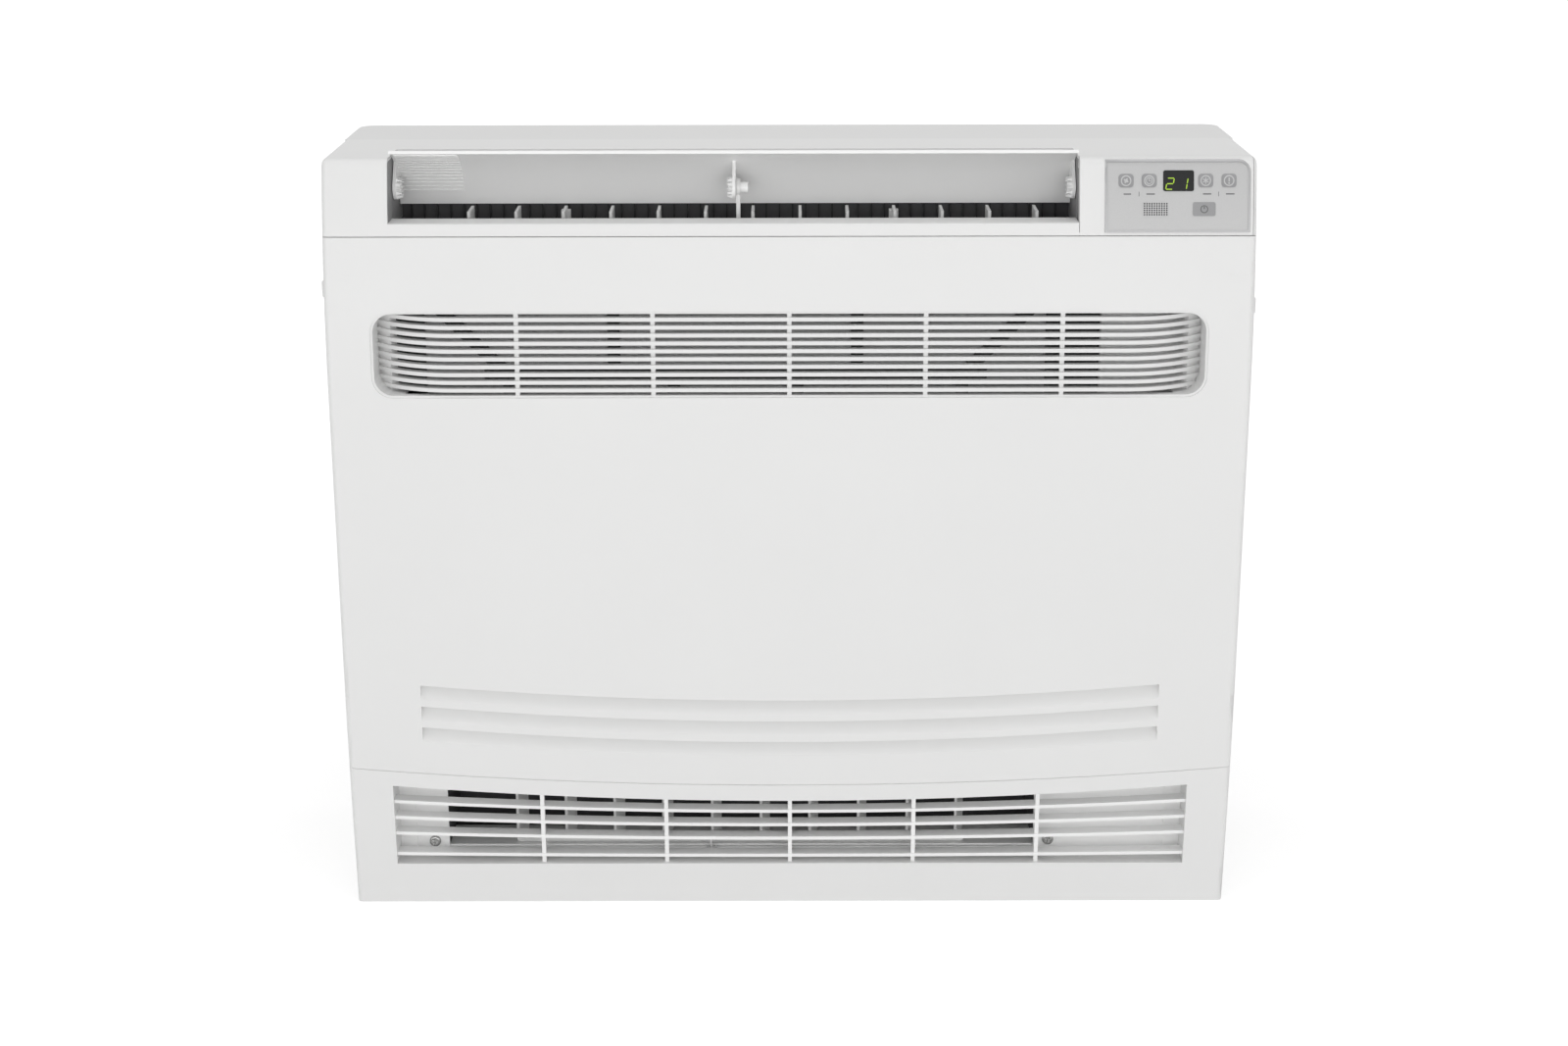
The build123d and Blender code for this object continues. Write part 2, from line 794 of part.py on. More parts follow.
def recess_face(grow):
    """Outline of the lower outlet's recess, with a level foot and a curved top."""
    low = recess_low - grow
    across = recess_half + grow
    high_end = recess_high + grow + sag(recess_radius, across)
    edges = Curve() + [
        Line((-across, low), (across, low)),
        Line((across, low), (across, high_end)),
        ThreePointArc((across, high_end), (0, recess_high + grow), (-across, high_end)),
        Line((-across, high_end), (-across, low)),
    ]
    return make_face(edges)


collar = front_prism(recess_face(recess_wall), front, recess_rear)
cover_low += collar & envelope(wall / 2, half - wall, cover_rear)
cover_low -= front_prism(recess_face(0), front - wall, recess_rear + wall)
nodes["lower_cover"] = cover_low

port_left = -half + port_left_margin
port_right = half - port_right_margin
port_low = recess_low + port_foot
port_high = port_low + port_height
duct_front = recess_rear + back_plate
plate = front_prism(recess_face(recess_wall), recess_rear, duct_front)
plate -= block(port_left, port_right, recess_rear - overcut, duct_front + overcut, port_low, port_high)
step_x = recess_half - end_step_width
steps = front_prism(recess_face(0), recess_rear - end_step, recess_rear)
steps -= block(-step_x, step_x, front, recess_rear + overcut, 0, lower_seam)
nodes["outlet_back_plate"] = plate + steps


def outlet_bar(drop, rise):
    """Curved bar across the lower outlet."""
    z = recess_high - drop
    radius = (recess_half**2 + rise**2) / (2 * rise)
    y = front_y(z) + bar_set_back
    band = arc_band(z - bar_thickness / 2, z + bar_thickness / 2, radius, recess_half)
    return front_prism(band, y, y + bar_depth)


def outlet_rib(x):
    """Leaning upright that ties the bars together."""
    inset = bar_set_back + bar_rib_inset
    top = recess_high + sag(recess_radius, max(0, abs(x) - bar_rib_width / 2))
    face = outline(
        (front_y(recess_low) + inset, recess_low),
        (front_y(top) + inset, top),
        (front_y(top) + inset + bar_rib_depth, top),
        (front_y(recess_low) + inset + bar_rib_depth, recess_low),
    )
    return side_prism(face, x - bar_rib_width / 2, x + bar_rib_width / 2)


bars = [outlet_bar(drop, rise) for drop, rise in zip(bar_drops, bar_end_rises)]
bar_rib_spacing = (recess_half - bar_rib_margin) / bar_ribs_per_side
for index in range(-bar_ribs_per_side, bar_ribs_per_side + 1):
    bars.append(outlet_rib(index * bar_rib_spacing))
nodes["outlet_grille"] = bars[0].fuse(*bars[1:])

# Lower duct behind the port, with its floor, blades and link rod
duct_rear = duct_front + lower_duct_depth
duct_top = port_low + lower_duct_height


def duct_section(grow):
    """Section of the duct: level floor, curved back and an upright way to the fan."""
    low = port_low - grow
    high = port_high + grow
    back = duct_rear + grow
    bend = lower_duct_bend + grow
    way_front = back - lower_duct_bend - 2 * grow
    edges = Curve() + [
        Line((duct_front, low), (back - bend, low)),
        TangentArc((back - bend, low), (back, low + bend), tangent=(1, 0)),
        Line((back, low + bend), (back, duct_top)),
        Line((back, duct_top), (way_front, duct_top)),
        Line((way_front, duct_top), (way_front, high)),
        Line((way_front, high), (duct_front, high)),
        Line((duct_front, high), (duct_front, low)),
    ]
    return make_face(edges)


lower_duct = side_prism(duct_section(duct_wall), port_left - duct_wall, port_right + duct_wall)
lower_duct -= side_prism(duct_section(0), port_left, port_right)
nodes["lower_duct"] = lower_duct
blade_foot = port_low + duct_floor_thickness
nodes["duct_floor"] = block(
    port_left, port_right, duct_front, duct_front + duct_floor_depth, port_low, blade_foot
)

blade_front = duct_front + lower_vane_gap
blade_middle = blade_front + lower_vane_depth / 2
blade_first = port_left + lower_vane_margin
blade_total = int((port_right - port_left - 2 * lower_vane_margin) / lower_vane_pitch) + 1
blades = []
for index in range(blade_total):
    x = blade_first + index * lower_vane_pitch
    blade = Rot(0, 0, lower_vane_turn) * Box(vane_thickness, lower_vane_depth, lower_vane_height)
    blades.append(Pos(x, blade_middle, blade_foot + lower_vane_height / 2) * blade)
nodes["lower_vanes"] = Compound(children=blades)
blade_last = blade_first + (blade_total - 1) * lower_vane_pitch
rod_low = blade_foot + rod_height
nodes["vane_link_rod"] = block(
    blade_first - rod_size,
    blade_last + rod_size,
    blade_front - rod_size,
    blade_front,
    rod_low,
    rod_low + rod_size,
)

# Pins on the lower cover that the panel turns on
for name, side in (("hinge_pin_left", -1), ("hinge_pin_right", 1)):
    ends = sorted((side * (half - wall), side * (lug_inner - overcut)))
    nodes[name] = pin(hinge_pin_radius, ends[0], ends[1], hinge_y, hinge_z)

# Side walls, rear chassis and base
side_top = upper_seam + upper_gap / 2
nodes["side_wall_left"] = block(-half, -half + wall, return_rear, cover_rear, 0, side_top)
nodes["side_wall_right"] = block(half - wall, half, return_rear, cover_rear, 0, side_top)


def chassis_block(inset, top):
    """Rear box of the cabinet with rounded upright corners."""
    across = half - chassis_inset - inset
    solid = block(-across, across, cover_rear, rear - inset, 0, top)
    corners = solid.edges().filter_by(Axis.Z).filter_by(lambda e: e.center().Y > cover_rear + overcut)
    return fillet(corners, chassis_corner - inset)


chassis = chassis_block(0, height) - chassis_block(wall, height - wall)
screw_x = half - screw_margin
hook_x = half - hook_margin
knockout_x = half - knockout_margin
for side in (-1, 1):
    for z in (screw_low, height - screw_drop):
        hole = Pos(side * screw_x, z) * Circle(screw_hole_radius)
        chassis -= front_prism(hole, rear - 2 * wall, rear + wall)
    hook = Pos(side * hook_x, height - hook_drop) * Rectangle(hook_width, hook_height)
    chassis -= front_prism(hook, rear - 2 * wall, rear + wall)
    disc = Pos(side * knockout_x, knockout_height) * Circle(knockout_radius)
    chassis -= front_prism(disc, rear - knockout_depth, rear + overcut)
nodes["rear_chassis"] = chassis

base = envelope(wall, half - wall, cover_rear) & block(-half, half, front, cover_rear, 0, base_thickness)
nodes["base_pan"] = base + chassis_block(wall, base_thickness)

# Bulkhead, air filter, coil and electric box behind the intake grille
bulkhead_front = front + bulkhead_back
bulkhead_rear = bulkhead_front + bulkhead
filter_half = (outlet_right - outlet_left) / 2 - filter_margin
filter_left = outlet_middle - filter_half
filter_right = outlet_middle + filter_half
filter_high = throat_low - 2 * seam_gap
frame_plate = block(
    -inner_half, inner_half, bulkhead_front, bulkhead_rear, bulkhead_low, height - bulkhead_drop
)
frame_plate -= block(
    filter_left + filter_lap,
    filter_right - filter_lap,
    bulkhead_front - overcut,
    bulkhead_rear + overcut,
    filter_low + filter_lap,
    filter_high - filter_lap,
)
frame_plate -= block(
    outlet_left - cheek_wall - seam_gap,
    outlet_right + cheek_wall + seam_gap,
    bulkhead_front - overcut,
    bulkhead_rear + overcut,
    throat_low - seam_gap,
    height,
)
nodes["inner_frame"] = frame_plate

mesh_front = bulkhead_front - mesh_thickness
nodes["filter_mesh"] = block(filter_left, filter_right, mesh_front, bulkhead_front, filter_low, filter_high)


def filter_strip(start, end):
    """Straight bar of the filter's frame between two points in X and Z."""
    run = Vector(*end) - Vector(*start)
    middle = (Vector(*start) + Vector(*end)) * 0.5
    angle = math.degrees(math.atan2(run.Y, run.X))
    face = Pos(middle.X, middle.Y) * Rot(0, 0, angle) * Rectangle(run.length + filter_bar, filter_bar)
    return front_prism(face, mesh_front - filter_thickness, mesh_front)


low_z = filter_low + filter_bar / 2
high_z = filter_high - filter_bar / 2
band_z = height - filter_band_drop
edge_x = filter_half - filter_bar / 2
filter_band_half = filter_half - filter_band_margin
filter_brace_half = filter_half - filter_brace_margin
brace_x = filter_brace_half + high_z - band_z
half_bars = [
    ((edge_x, low_z), (edge_x, high_z)),
    ((filter_brace_half, band_z), (brace_x, high_z)),
    ((filter_upright, band_z), (filter_upright, high_z)),
    ((filter_lower_upright, low_z), (filter_lower_upright, band_z)),
    ((filter_brace_half, low_z), (filter_brace_half, band_z)),
]
filter_bars = []
for side in (-1, 1):
    for start, end in half_bars:
        filter_bars.append(
            filter_strip((outlet_middle + side * start[0], start[1]), (outlet_middle + side * end[0], end[1]))
        )
for z, reach_x in ((low_z, edge_x), (high_z, edge_x), (band_z, filter_band_half)):
    filter_bars.append(filter_strip((outlet_middle - reach_x, z), (outlet_middle + reach_x, z)))
filter_space = block(
    filter_left, filter_right, mesh_front - filter_thickness, mesh_front, filter_low, filter_high
)
nodes["filter_frame"] = filter_bars[0].fuse(*filter_bars[1:]) & filter_space

nodes["evaporator_coil"] = block(
    filter_left, filter_right, bulkhead_rear, bulkhead_rear + coil_depth, filter_low, filter_high
)
nodes["electric_box"] = block(
    half - box_margin, inner_half, bulkhead_front - box_depth, bulkhead_front, box_low, height - box_drop
)

for name, shape in nodes.items():
    export_step(shape, f"parts/{name}.step")
print(len(nodes), "nodes")
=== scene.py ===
# %% [markdown]
# Floor console air conditioner.
# The imported model is the fixed frame: every piece below is placed in its metres, with X to the right,
# Y to the wall and Z up. Its box is kept from the start.

# %% Load the frame
import json
import math

import bmesh
import bpy
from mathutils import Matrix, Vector


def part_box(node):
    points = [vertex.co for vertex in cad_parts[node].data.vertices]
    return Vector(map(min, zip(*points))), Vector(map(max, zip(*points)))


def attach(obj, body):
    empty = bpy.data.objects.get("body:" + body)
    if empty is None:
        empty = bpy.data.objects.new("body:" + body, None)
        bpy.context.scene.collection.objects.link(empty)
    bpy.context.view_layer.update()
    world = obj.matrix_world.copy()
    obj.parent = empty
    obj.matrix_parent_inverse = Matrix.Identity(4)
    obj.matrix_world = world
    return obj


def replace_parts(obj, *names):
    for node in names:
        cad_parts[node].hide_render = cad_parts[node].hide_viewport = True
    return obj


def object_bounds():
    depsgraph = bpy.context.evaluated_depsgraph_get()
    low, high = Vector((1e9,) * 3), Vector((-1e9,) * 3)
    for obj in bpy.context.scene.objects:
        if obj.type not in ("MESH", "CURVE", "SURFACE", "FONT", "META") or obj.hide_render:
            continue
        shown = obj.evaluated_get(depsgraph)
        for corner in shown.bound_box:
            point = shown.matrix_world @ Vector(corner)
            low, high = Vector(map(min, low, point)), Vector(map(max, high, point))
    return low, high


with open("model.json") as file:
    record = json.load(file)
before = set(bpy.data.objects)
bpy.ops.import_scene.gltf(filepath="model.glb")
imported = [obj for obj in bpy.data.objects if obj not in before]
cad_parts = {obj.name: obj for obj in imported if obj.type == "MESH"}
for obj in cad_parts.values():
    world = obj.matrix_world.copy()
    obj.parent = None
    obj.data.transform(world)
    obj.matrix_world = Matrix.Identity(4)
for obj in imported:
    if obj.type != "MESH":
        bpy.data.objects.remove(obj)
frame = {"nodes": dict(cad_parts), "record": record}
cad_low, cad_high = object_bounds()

scene = bpy.context.scene
scene.view_settings.view_transform = "Standard"
nodes = frame["nodes"]
MM = 0.001
print("frame", len(nodes), "nodes", [round(v, 4) for v in (*cad_low, *cad_high)])

# %% [markdown]
# The camera comes first, because everything is judged through it.
# The unit was photographed from a little under two metres, looking down by almost 17 degrees with a
# short telephoto lens. A camera could be aimed by a constraint, but a typed place and tilt are easier to
# compare with the picture, and they stay put when pieces are added.

# %% Camera
CAMERA_PLACE = (-0.0033, -1.939, 0.875)
CAMERA_TILT = math.radians(90 - 16.75)
CAMERA_ROLL = math.radians(0.1)
CAMERA_LENS = 57.15
CAMERA_SENSOR = 36.0

bpy.ops.object.camera_add(location=CAMERA_PLACE, rotation=(CAMERA_TILT, CAMERA_ROLL, 0))
camera = bpy.context.object
camera.data.lens = CAMERA_LENS
camera.data.sensor_width = CAMERA_SENSOR
scene.camera = camera
print("camera", camera.location[:], "lens", camera.data.lens)

# %% [markdown]
# The picture was taken in a white room with light from all around, which also reaches into the outlets, so
# the front is even and the top a little darker. A white world does half of that; a wide softbox in front,
# a weaker one above and a small one at each side do the rest. Each is a rectangle aimed at the cabinet.

# %% Softboxes
SOFTBOXES = {
    "softbox_left": ((-2.2, -2.2, 1.0), (1.6, 1.6), 4.0),
    "softbox_right": ((2.2, -2.2, 1.0), (1.6, 1.6), 4.0),
    "softbox_front": ((0.0, -2.6, 0.60), (2.8, 1.2), 20.0),
    "softbox_top": ((0.0, -0.3, 2.8), (2.4, 1.6), 13.0),
}
LIGHT_AIM = Vector((0.0, 0.0, 0.35))

for name, (place, size, power) in SOFTBOXES.items():
    bpy.ops.object.light_add(type="AREA", location=place)
    lamp = bpy.context.object
    lamp.name = name
    lamp.data.shape = "RECTANGLE"
    lamp.data.size, lamp.data.size_y = size
    lamp.data.energy = power
    lamp.rotation_euler = (LIGHT_AIM - Vector(place)).to_track_quat("-Z", "Y").to_euler()
    lamp.visible_camera = False
print("softboxes", list(SOFTBOXES))

# %% [markdown]
# The background is white, but the object must not be lit by that white. So the world has full strength only
# for rays that are seen, and its plain level for the rest. The floor is pale and throws light back up. Its
# own light is again only for rays that are seen, and it is weaker near the foot, where the object's shadow
# shows.

# %% World and floor
ROOM_LIGHT = 0.57
FLOOR_SIZE = 40.0
FLOOR_TONE = 0.86
FLOOR_ROUGHNESS = 0.9
GLOW_NEAR = 0.40
GLOW_FAR = 0.62
GLOW_REACH = (0.45, 2.2)
WHITE = (1, 1, 1, 1)


def seen_ray(tree):
    """One for rays that reach the eye directly, through a mirror or through glass."""
    path = tree.nodes.new("ShaderNodeLightPath")
    mirror = tree.nodes.new("ShaderNodeMath")
    mirror.operation = "MAXIMUM"
    glass = tree.nodes.new("ShaderNodeMath")
    glass.operation = "MAXIMUM"
    tree.links.new(path.outputs["Is Camera Ray"], mirror.inputs[0])
    tree.links.new(path.outputs["Is Glossy Ray"], mirror.inputs[1])
    tree.links.new(mirror.outputs[0], glass.inputs[0])
    tree.links.new(path.outputs["Is Transmission Ray"], glass.inputs[1])
    return glass.outputs[0]


world = bpy.data.worlds.new("white_room")
scene.world = world
world.use_nodes = True
room = world.node_tree
background = room.nodes["Background"]
strength = room.nodes.new("ShaderNodeMapRange")
strength.inputs["To Min"].default_value = ROOM_LIGHT
strength.inputs["To Max"].default_value = 1.0
room.links.new(seen_ray(room), strength.inputs["Value"])
background.inputs["Color"].default_value = WHITE
room.links.new(strength.outputs["Result"], background.inputs["Strength"])

bpy.ops.mesh.primitive_plane_add(size=FLOOR_SIZE, location=(0, 0, 0))
floor = bpy.context.object
floor.name = "floor"
sweep = bpy.data.materials.new("pale_floor")
sweep.use_nodes = True
tree = sweep.node_tree
shader = tree.nodes["Principled BSDF"]
shader.inputs["Base Color"].default_value = (FLOOR_TONE, FLOOR_TONE, FLOOR_TONE, 1)
shader.inputs["Roughness"].default_value = FLOOR_ROUGHNESS
shader.inputs["Specular IOR Level"].default_value = 0.0
shader.inputs["Emission Color"].default_value = WHITE
away = tree.nodes.new("ShaderNodeVectorMath")
away.operation = "LENGTH"
tree.links.new(tree.nodes.new("ShaderNodeTexCoord").outputs["Object"], away.inputs[0])
fade = tree.nodes.new("ShaderNodeMapRange")
fade.inputs["From Min"].default_value, fade.inputs["From Max"].default_value = GLOW_REACH
fade.inputs["To Min"].default_value = GLOW_NEAR
fade.inputs["To Max"].default_value = GLOW_FAR
tree.links.new(away.outputs["Value"], fade.inputs["Value"])
glow = tree.nodes.new("ShaderNodeMath")
glow.operation = "MULTIPLY"
tree.links.new(seen_ray(tree), glow.inputs[0])
tree.links.new(fade.outputs["Result"], glow.inputs[1])
tree.links.new(glow.outputs[0], shader.inputs["Emission Strength"])
floor.data.materials.append(sweep)
print("room light", ROOM_LIGHT, "floor", FLOOR_SIZE)

# %% [markdown]
# Most of the cabinet is injection-moulded plastic. Its tool is spark-eroded, which leaves a fine even
# grain, and broad faint differences come from the flow of the plastic. The same effect shows on every
# moulding at its own depth, so it is a node group: noise at two scales gives a tint, a roughness and a
# height. A picture of the grain would be simpler, but it would stretch and repeat.

# %% Group: moulded grain
GRAIN_SCALE = 2600.0
FLOW_SCALE = 9.0
FLOW_DETAIL = 3.0


def new_group(name, inputs, outputs):
    """Empty shader group with named value inputs and outputs."""
    group = bpy.data.node_groups.new(name, "ShaderNodeTree")
    for label, value in inputs.items():
        kind = "NodeSocketColor" if isinstance(value, tuple) else "NodeSocketFloat"
        socket = group.interface.new_socket(name=label, in_out="INPUT", socket_type=kind)
        socket.default_value = value
    for label, kind in outputs.items():
        group.interface.new_socket(name=label, in_out="OUTPUT", socket_type=kind)
    return group, group.nodes.new("NodeGroupInput"), group.nodes.new("NodeGroupOutput")


def noise(tree, coords, scale, detail=2.0):
    """Noise texture on object coordinates."""
    texture = tree.nodes.new("ShaderNodeTexNoise")
    texture.inputs["Scale"].default_value = scale
    texture.inputs["Detail"].default_value = detail
    tree.links.new(coords, texture.inputs["Vector"])
    return texture.outputs["Fac"]


def spread(tree, value, low, high):
    """Value from 0 to 1 spread over another range, typed or linked."""
    ranged = tree.nodes.new("ShaderNodeMapRange")
    tree.links.new(value, ranged.inputs["Value"])
    for socket, bound in (("To Min", low), ("To Max", high)):
        if isinstance(bound, (int, float)):
            ranged.inputs[socket].default_value = bound
        else:
            tree.links.new(bound, ranged.inputs[socket])
    return ranged.outputs["Result"]


def tint(tree, colour, factor):
    """Colour multiplied by a grey factor."""
    mix = tree.nodes.new("ShaderNodeMix")
    mix.data_type = "RGBA"
    mix.blend_type = "MULTIPLY"
    mix.inputs["Factor"].default_value = 1.0
    tree.links.new(colour, mix.inputs["A"])
    tree.links.new(factor, mix.inputs["B"])
    return mix.outputs["Result"]


grain_group, source, sink = new_group(
    "moulded_grain",
    {"Colour": (0.8, 0.8, 0.8, 1.0), "Tint Low": 0.97, "Rough Low": 0.4, "Rough High": 0.55},
    {"Colour": "NodeSocketColor", "Roughness": "NodeSocketFloat", "Height": "NodeSocketFloat"},
)
coords = grain_group.nodes.new("ShaderNodeTexCoord").outputs["Object"]
fine = noise(grain_group, coords, GRAIN_SCALE)
broad = noise(grain_group, coords, FLOW_SCALE, FLOW_DETAIL)
shade = spread(grain_group, broad, source.outputs["Tint Low"], 1.0)
grain_group.links.new(tint(grain_group, source.outputs["Colour"], shade), sink.inputs["Colour"])
roughness = spread(grain_group, fine, source.outputs["Rough Low"], source.outputs["Rough High"])
grain_group.links.new(roughness, sink.inputs["Roughness"])
grain_group.links.new(fine, sink.inputs["Height"])
print("group", grain_group.name, len(grain_group.nodes), "nodes")

# %% [markdown]
# Each plastic is then one short material: the group with its own colour and gloss, a bump from the
# group's height, and a Principled shader that keeps its constant values on its own sockets.

# %% Moulded plastics
GRAIN_TINT = 0.97
GRAIN_BUMP = 0.03
GRAIN_HEIGHT = 0.1 * MM


def relief_from(tree, shader, height, strength, distance):
    """Bump on the shader's normal."""
    relief = tree.nodes.new("ShaderNodeBump")
    relief.inputs["Strength"].default_value = strength
    relief.inputs["Distance"].default_value = distance
    tree.links.new(height, relief.inputs["Height"])
    tree.links.new(relief.outputs["Normal"], shader.inputs["Normal"])


def moulded(name, colour, rough_low, rough_high):
    """Injection-moulded plastic with spark-eroded grain."""
    material = bpy.data.materials.new(name)
    material.use_nodes = True
    tree = material.node_tree
    shader = tree.nodes["Principled BSDF"]
    grain = tree.nodes.new("ShaderNodeGroup")
    grain.node_tree = grain_group
    grain.inputs["Colour"].default_value = (*colour, 1.0)
    grain.inputs["Tint Low"].default_value = GRAIN_TINT
    grain.inputs["Rough Low"].default_value = rough_low
    grain.inputs["Rough High"].default_value = rough_high
    tree.links.new(grain.outputs["Colour"], shader.inputs["Base Color"])
    tree.links.new(grain.outputs["Roughness"], shader.inputs["Roughness"])
    relief_from(tree, shader, grain.outputs["Height"], GRAIN_BUMP, GRAIN_HEIGHT)
    return material


PLASTICS = {
    "white_plastic": ((0.80, 0.80, 0.795), 0.42, 0.52),
    "chassis_plastic": ((0.775, 0.775, 0.77), 0.46, 0.58),
    "grille_plastic": ((0.80, 0.80, 0.795), 0.40, 0.50),
    "flap_plastic": ((0.90, 0.90, 0.895), 0.36, 0.46),
    "vane_plastic": ((0.74, 0.74, 0.735), 0.40, 0.52),
    "dark_duct": ((0.060, 0.060, 0.062), 0.55, 0.70),
    "black_plastic": ((0.010, 0.010, 0.011), 0.50, 0.65),
    # A lighter white than the cabinet's: painted light that lifts the shade on mouldings set deep inside.
    "painted_light_white": ((0.90, 0.90, 0.895), 0.40, 0.52),
    "pale_duct": ((0.50, 0.50, 0.50), 0.48, 0.60),
    # A dark grey that paints the shade on pieces that lie in shadow.
    "painted_shade_duct": ((0.26, 0.26, 0.263), 0.50, 0.62),
    "grey_window": ((0.30, 0.30, 0.305), 0.35, 0.45),
}
finishes = {name: moulded(name, *values) for name, values in PLASTICS.items()}
print("plastics", sorted(finishes))

# %% [markdown]
# The finishes that aren't plain mouldings are built from the same few parts: bands at a real spacing in
# metres, a colour between two colours, and a colour and a roughness that follow one value.

# %% Finish helpers


def wave(tree, coords, spacing, direction):
    """Bands of one spacing in metres, across X, Y or Z."""
    bands = tree.nodes.new("ShaderNodeTexWave")
    bands.wave_type = "BANDS"
    bands.bands_direction = direction
    bands.wave_profile = "SIN"
    bands.inputs["Scale"].default_value = math.pi / (10.0 * spacing)
    tree.links.new(coords, bands.inputs["Vector"])
    return bands.outputs["Fac"]


def ramp(tree, value, low, high):
    """Colour between two colours by a value."""
    mix = tree.nodes.new("ShaderNodeMix")
    mix.data_type = "RGBA"
    mix.inputs["A"].default_value = (*low, 1.0)
    mix.inputs["B"].default_value = (*high, 1.0)
    tree.links.new(value, mix.inputs["Factor"])
    return mix.outputs["Result"]


def bare_material(name):
    """New material with its tree, its shader and object coordinates."""
    material = bpy.data.materials.new(name)
    material.use_nodes = True
    tree = material.node_tree
    coords = tree.nodes.new("ShaderNodeTexCoord").outputs["Object"]
    finishes[name] = material
    return tree, tree.nodes["Principled BSDF"], coords


def coat(tree, shader, value, colours, roughness, metallic):
    """Colour and roughness that follow one value."""
    tree.links.new(ramp(tree, value, *colours), shader.inputs["Base Color"])
    tree.links.new(spread(tree, value, *roughness), shader.inputs["Roughness"])
    shader.inputs["Metallic"].default_value = metallic


print("finish helpers ready")

# %% [markdown]
# The filter is a fine woven net and the coil behind it a bank of close bright fins. Waves on object
# coordinates give the threads and fins at their real spacing, in colour and in relief.

# %% Net and fins
THREAD_SPACING = 1.6 * MM
THREAD_HEIGHT = 0.3 * MM
DUST_SCALE = 14.0
FIN_SPACING = 1.5 * MM
FIN_HEIGHT = 0.5 * MM
FIN_WEAR_SCALE = 900.0

tree, shader, coords = bare_material("filter_net")
threads = tree.nodes.new("ShaderNodeMath")
threads.operation = "MAXIMUM"
tree.links.new(wave(tree, coords, THREAD_SPACING, "X"), threads.inputs[0])
tree.links.new(wave(tree, coords, THREAD_SPACING, "Z"), threads.inputs[1])
weave = ramp(tree, threads.outputs[0], (0.22, 0.22, 0.222), (0.70, 0.70, 0.705))
dust = spread(tree, noise(tree, coords, DUST_SCALE), 0.8, 1.0)
tree.links.new(tint(tree, weave, dust), shader.inputs["Base Color"])
shader.inputs["Roughness"].default_value = 0.8
relief_from(tree, shader, threads.outputs[0], 0.5, THREAD_HEIGHT)

tree, shader, coords = bare_material("coil_fins")
edge = wave(tree, coords, FIN_SPACING, "X")
wear = spread(tree, noise(tree, coords, FIN_WEAR_SCALE), 0.25, 0.45)
tree.links.new(ramp(tree, edge, (0.10, 0.10, 0.105), (0.62, 0.63, 0.64)), shader.inputs["Base Color"])
tree.links.new(wear, shader.inputs["Roughness"])
shader.inputs["Metallic"].default_value = 0.9
relief_from(tree, shader, edge, 0.6, FIN_HEIGHT)
print("finishes", sorted(finishes))

# %% [markdown]
# The control plate is sprayed silver with fine flakes and has a plated edge, the pins are turned steel, and
# the screws are bright zinc. In each of them one pattern drives both colour and gloss: flakes, ripples,
# turning marks or wear.

# %% Silver, plating and steel
FLAKE_SCALE = 3800.0
FLAKE_HEIGHT = 0.1 * MM
TURNING_PITCH = 0.4 * MM
RIPPLE_SCALE = 420.0
WEAR_SCALE = 900.0

tree, shader, coords = bare_material("silver_plate")
flake = noise(tree, coords, FLAKE_SCALE, 0.0)
coat(tree, shader, flake, ((0.43, 0.43, 0.43), (0.53, 0.53, 0.53)), (0.42, 0.55), 0.25)
relief_from(tree, shader, flake, 0.04, FLAKE_HEIGHT)

tree, shader, coords = bare_material("steel_pin")
turned = wave(tree, coords, TURNING_PITCH, "X")
coat(tree, shader, turned, ((0.52, 0.52, 0.52), (0.66, 0.66, 0.66)), (0.22, 0.36), 1.0)

tree, shader, coords = bare_material("plated_edge")
ripple = noise(tree, coords, RIPPLE_SCALE)
coat(tree, shader, ripple, ((0.36, 0.36, 0.365), (0.42, 0.42, 0.425)), (0.30, 0.38), 0.4)

tree, shader, coords = bare_material("bright_steel")
wear = noise(tree, coords, WEAR_SCALE)
coat(tree, shader, wear, ((0.38, 0.38, 0.38), (0.50, 0.50, 0.49)), (0.18, 0.30), 0.9)
print("finishes", sorted(finishes))

# %% [markdown]
# The display has a smoked window with lit segments behind it. The segments give a little light of their
# own, uneven as a segment with one lamp behind it is. The two greys of printing ink are matt mouldings.

# %% Glass, lit segments and ink
SMOKE_SCALE = 60.0
SMEAR_SCALE = 1500.0
LAMP_SCALE = 260.0

tree, shader, coords = bare_material("display_glass")
smoke = noise(tree, coords, SMOKE_SCALE)
smear = spread(tree, noise(tree, coords, SMEAR_SCALE), 0.16, 0.24)
tree.links.new(ramp(tree, smoke, (0.010, 0.011, 0.011), (0.016, 0.017, 0.017)), shader.inputs["Base Color"])
tree.links.new(smear, shader.inputs["Roughness"])
shader.inputs["Specular IOR Level"].default_value = 0.3

tree, shader, coords = bare_material("lit_segment")
lit_tone = ramp(tree, noise(tree, coords, LAMP_SCALE), (0.36, 0.62, 0.01), (0.52, 0.78, 0.03))
tree.links.new(lit_tone, shader.inputs["Emission Color"])
shader.inputs["Base Color"].default_value = (0.08, 0.12, 0.02, 1.0)
shader.inputs["Emission Strength"].default_value = 0.9

finishes["grey_print"] = moulded("grey_print", (0.12, 0.12, 0.123), 0.50, 0.62)
finishes["pale_print"] = moulded("pale_print", (0.56, 0.56, 0.565), 0.45, 0.55)
print("finishes", sorted(finishes))
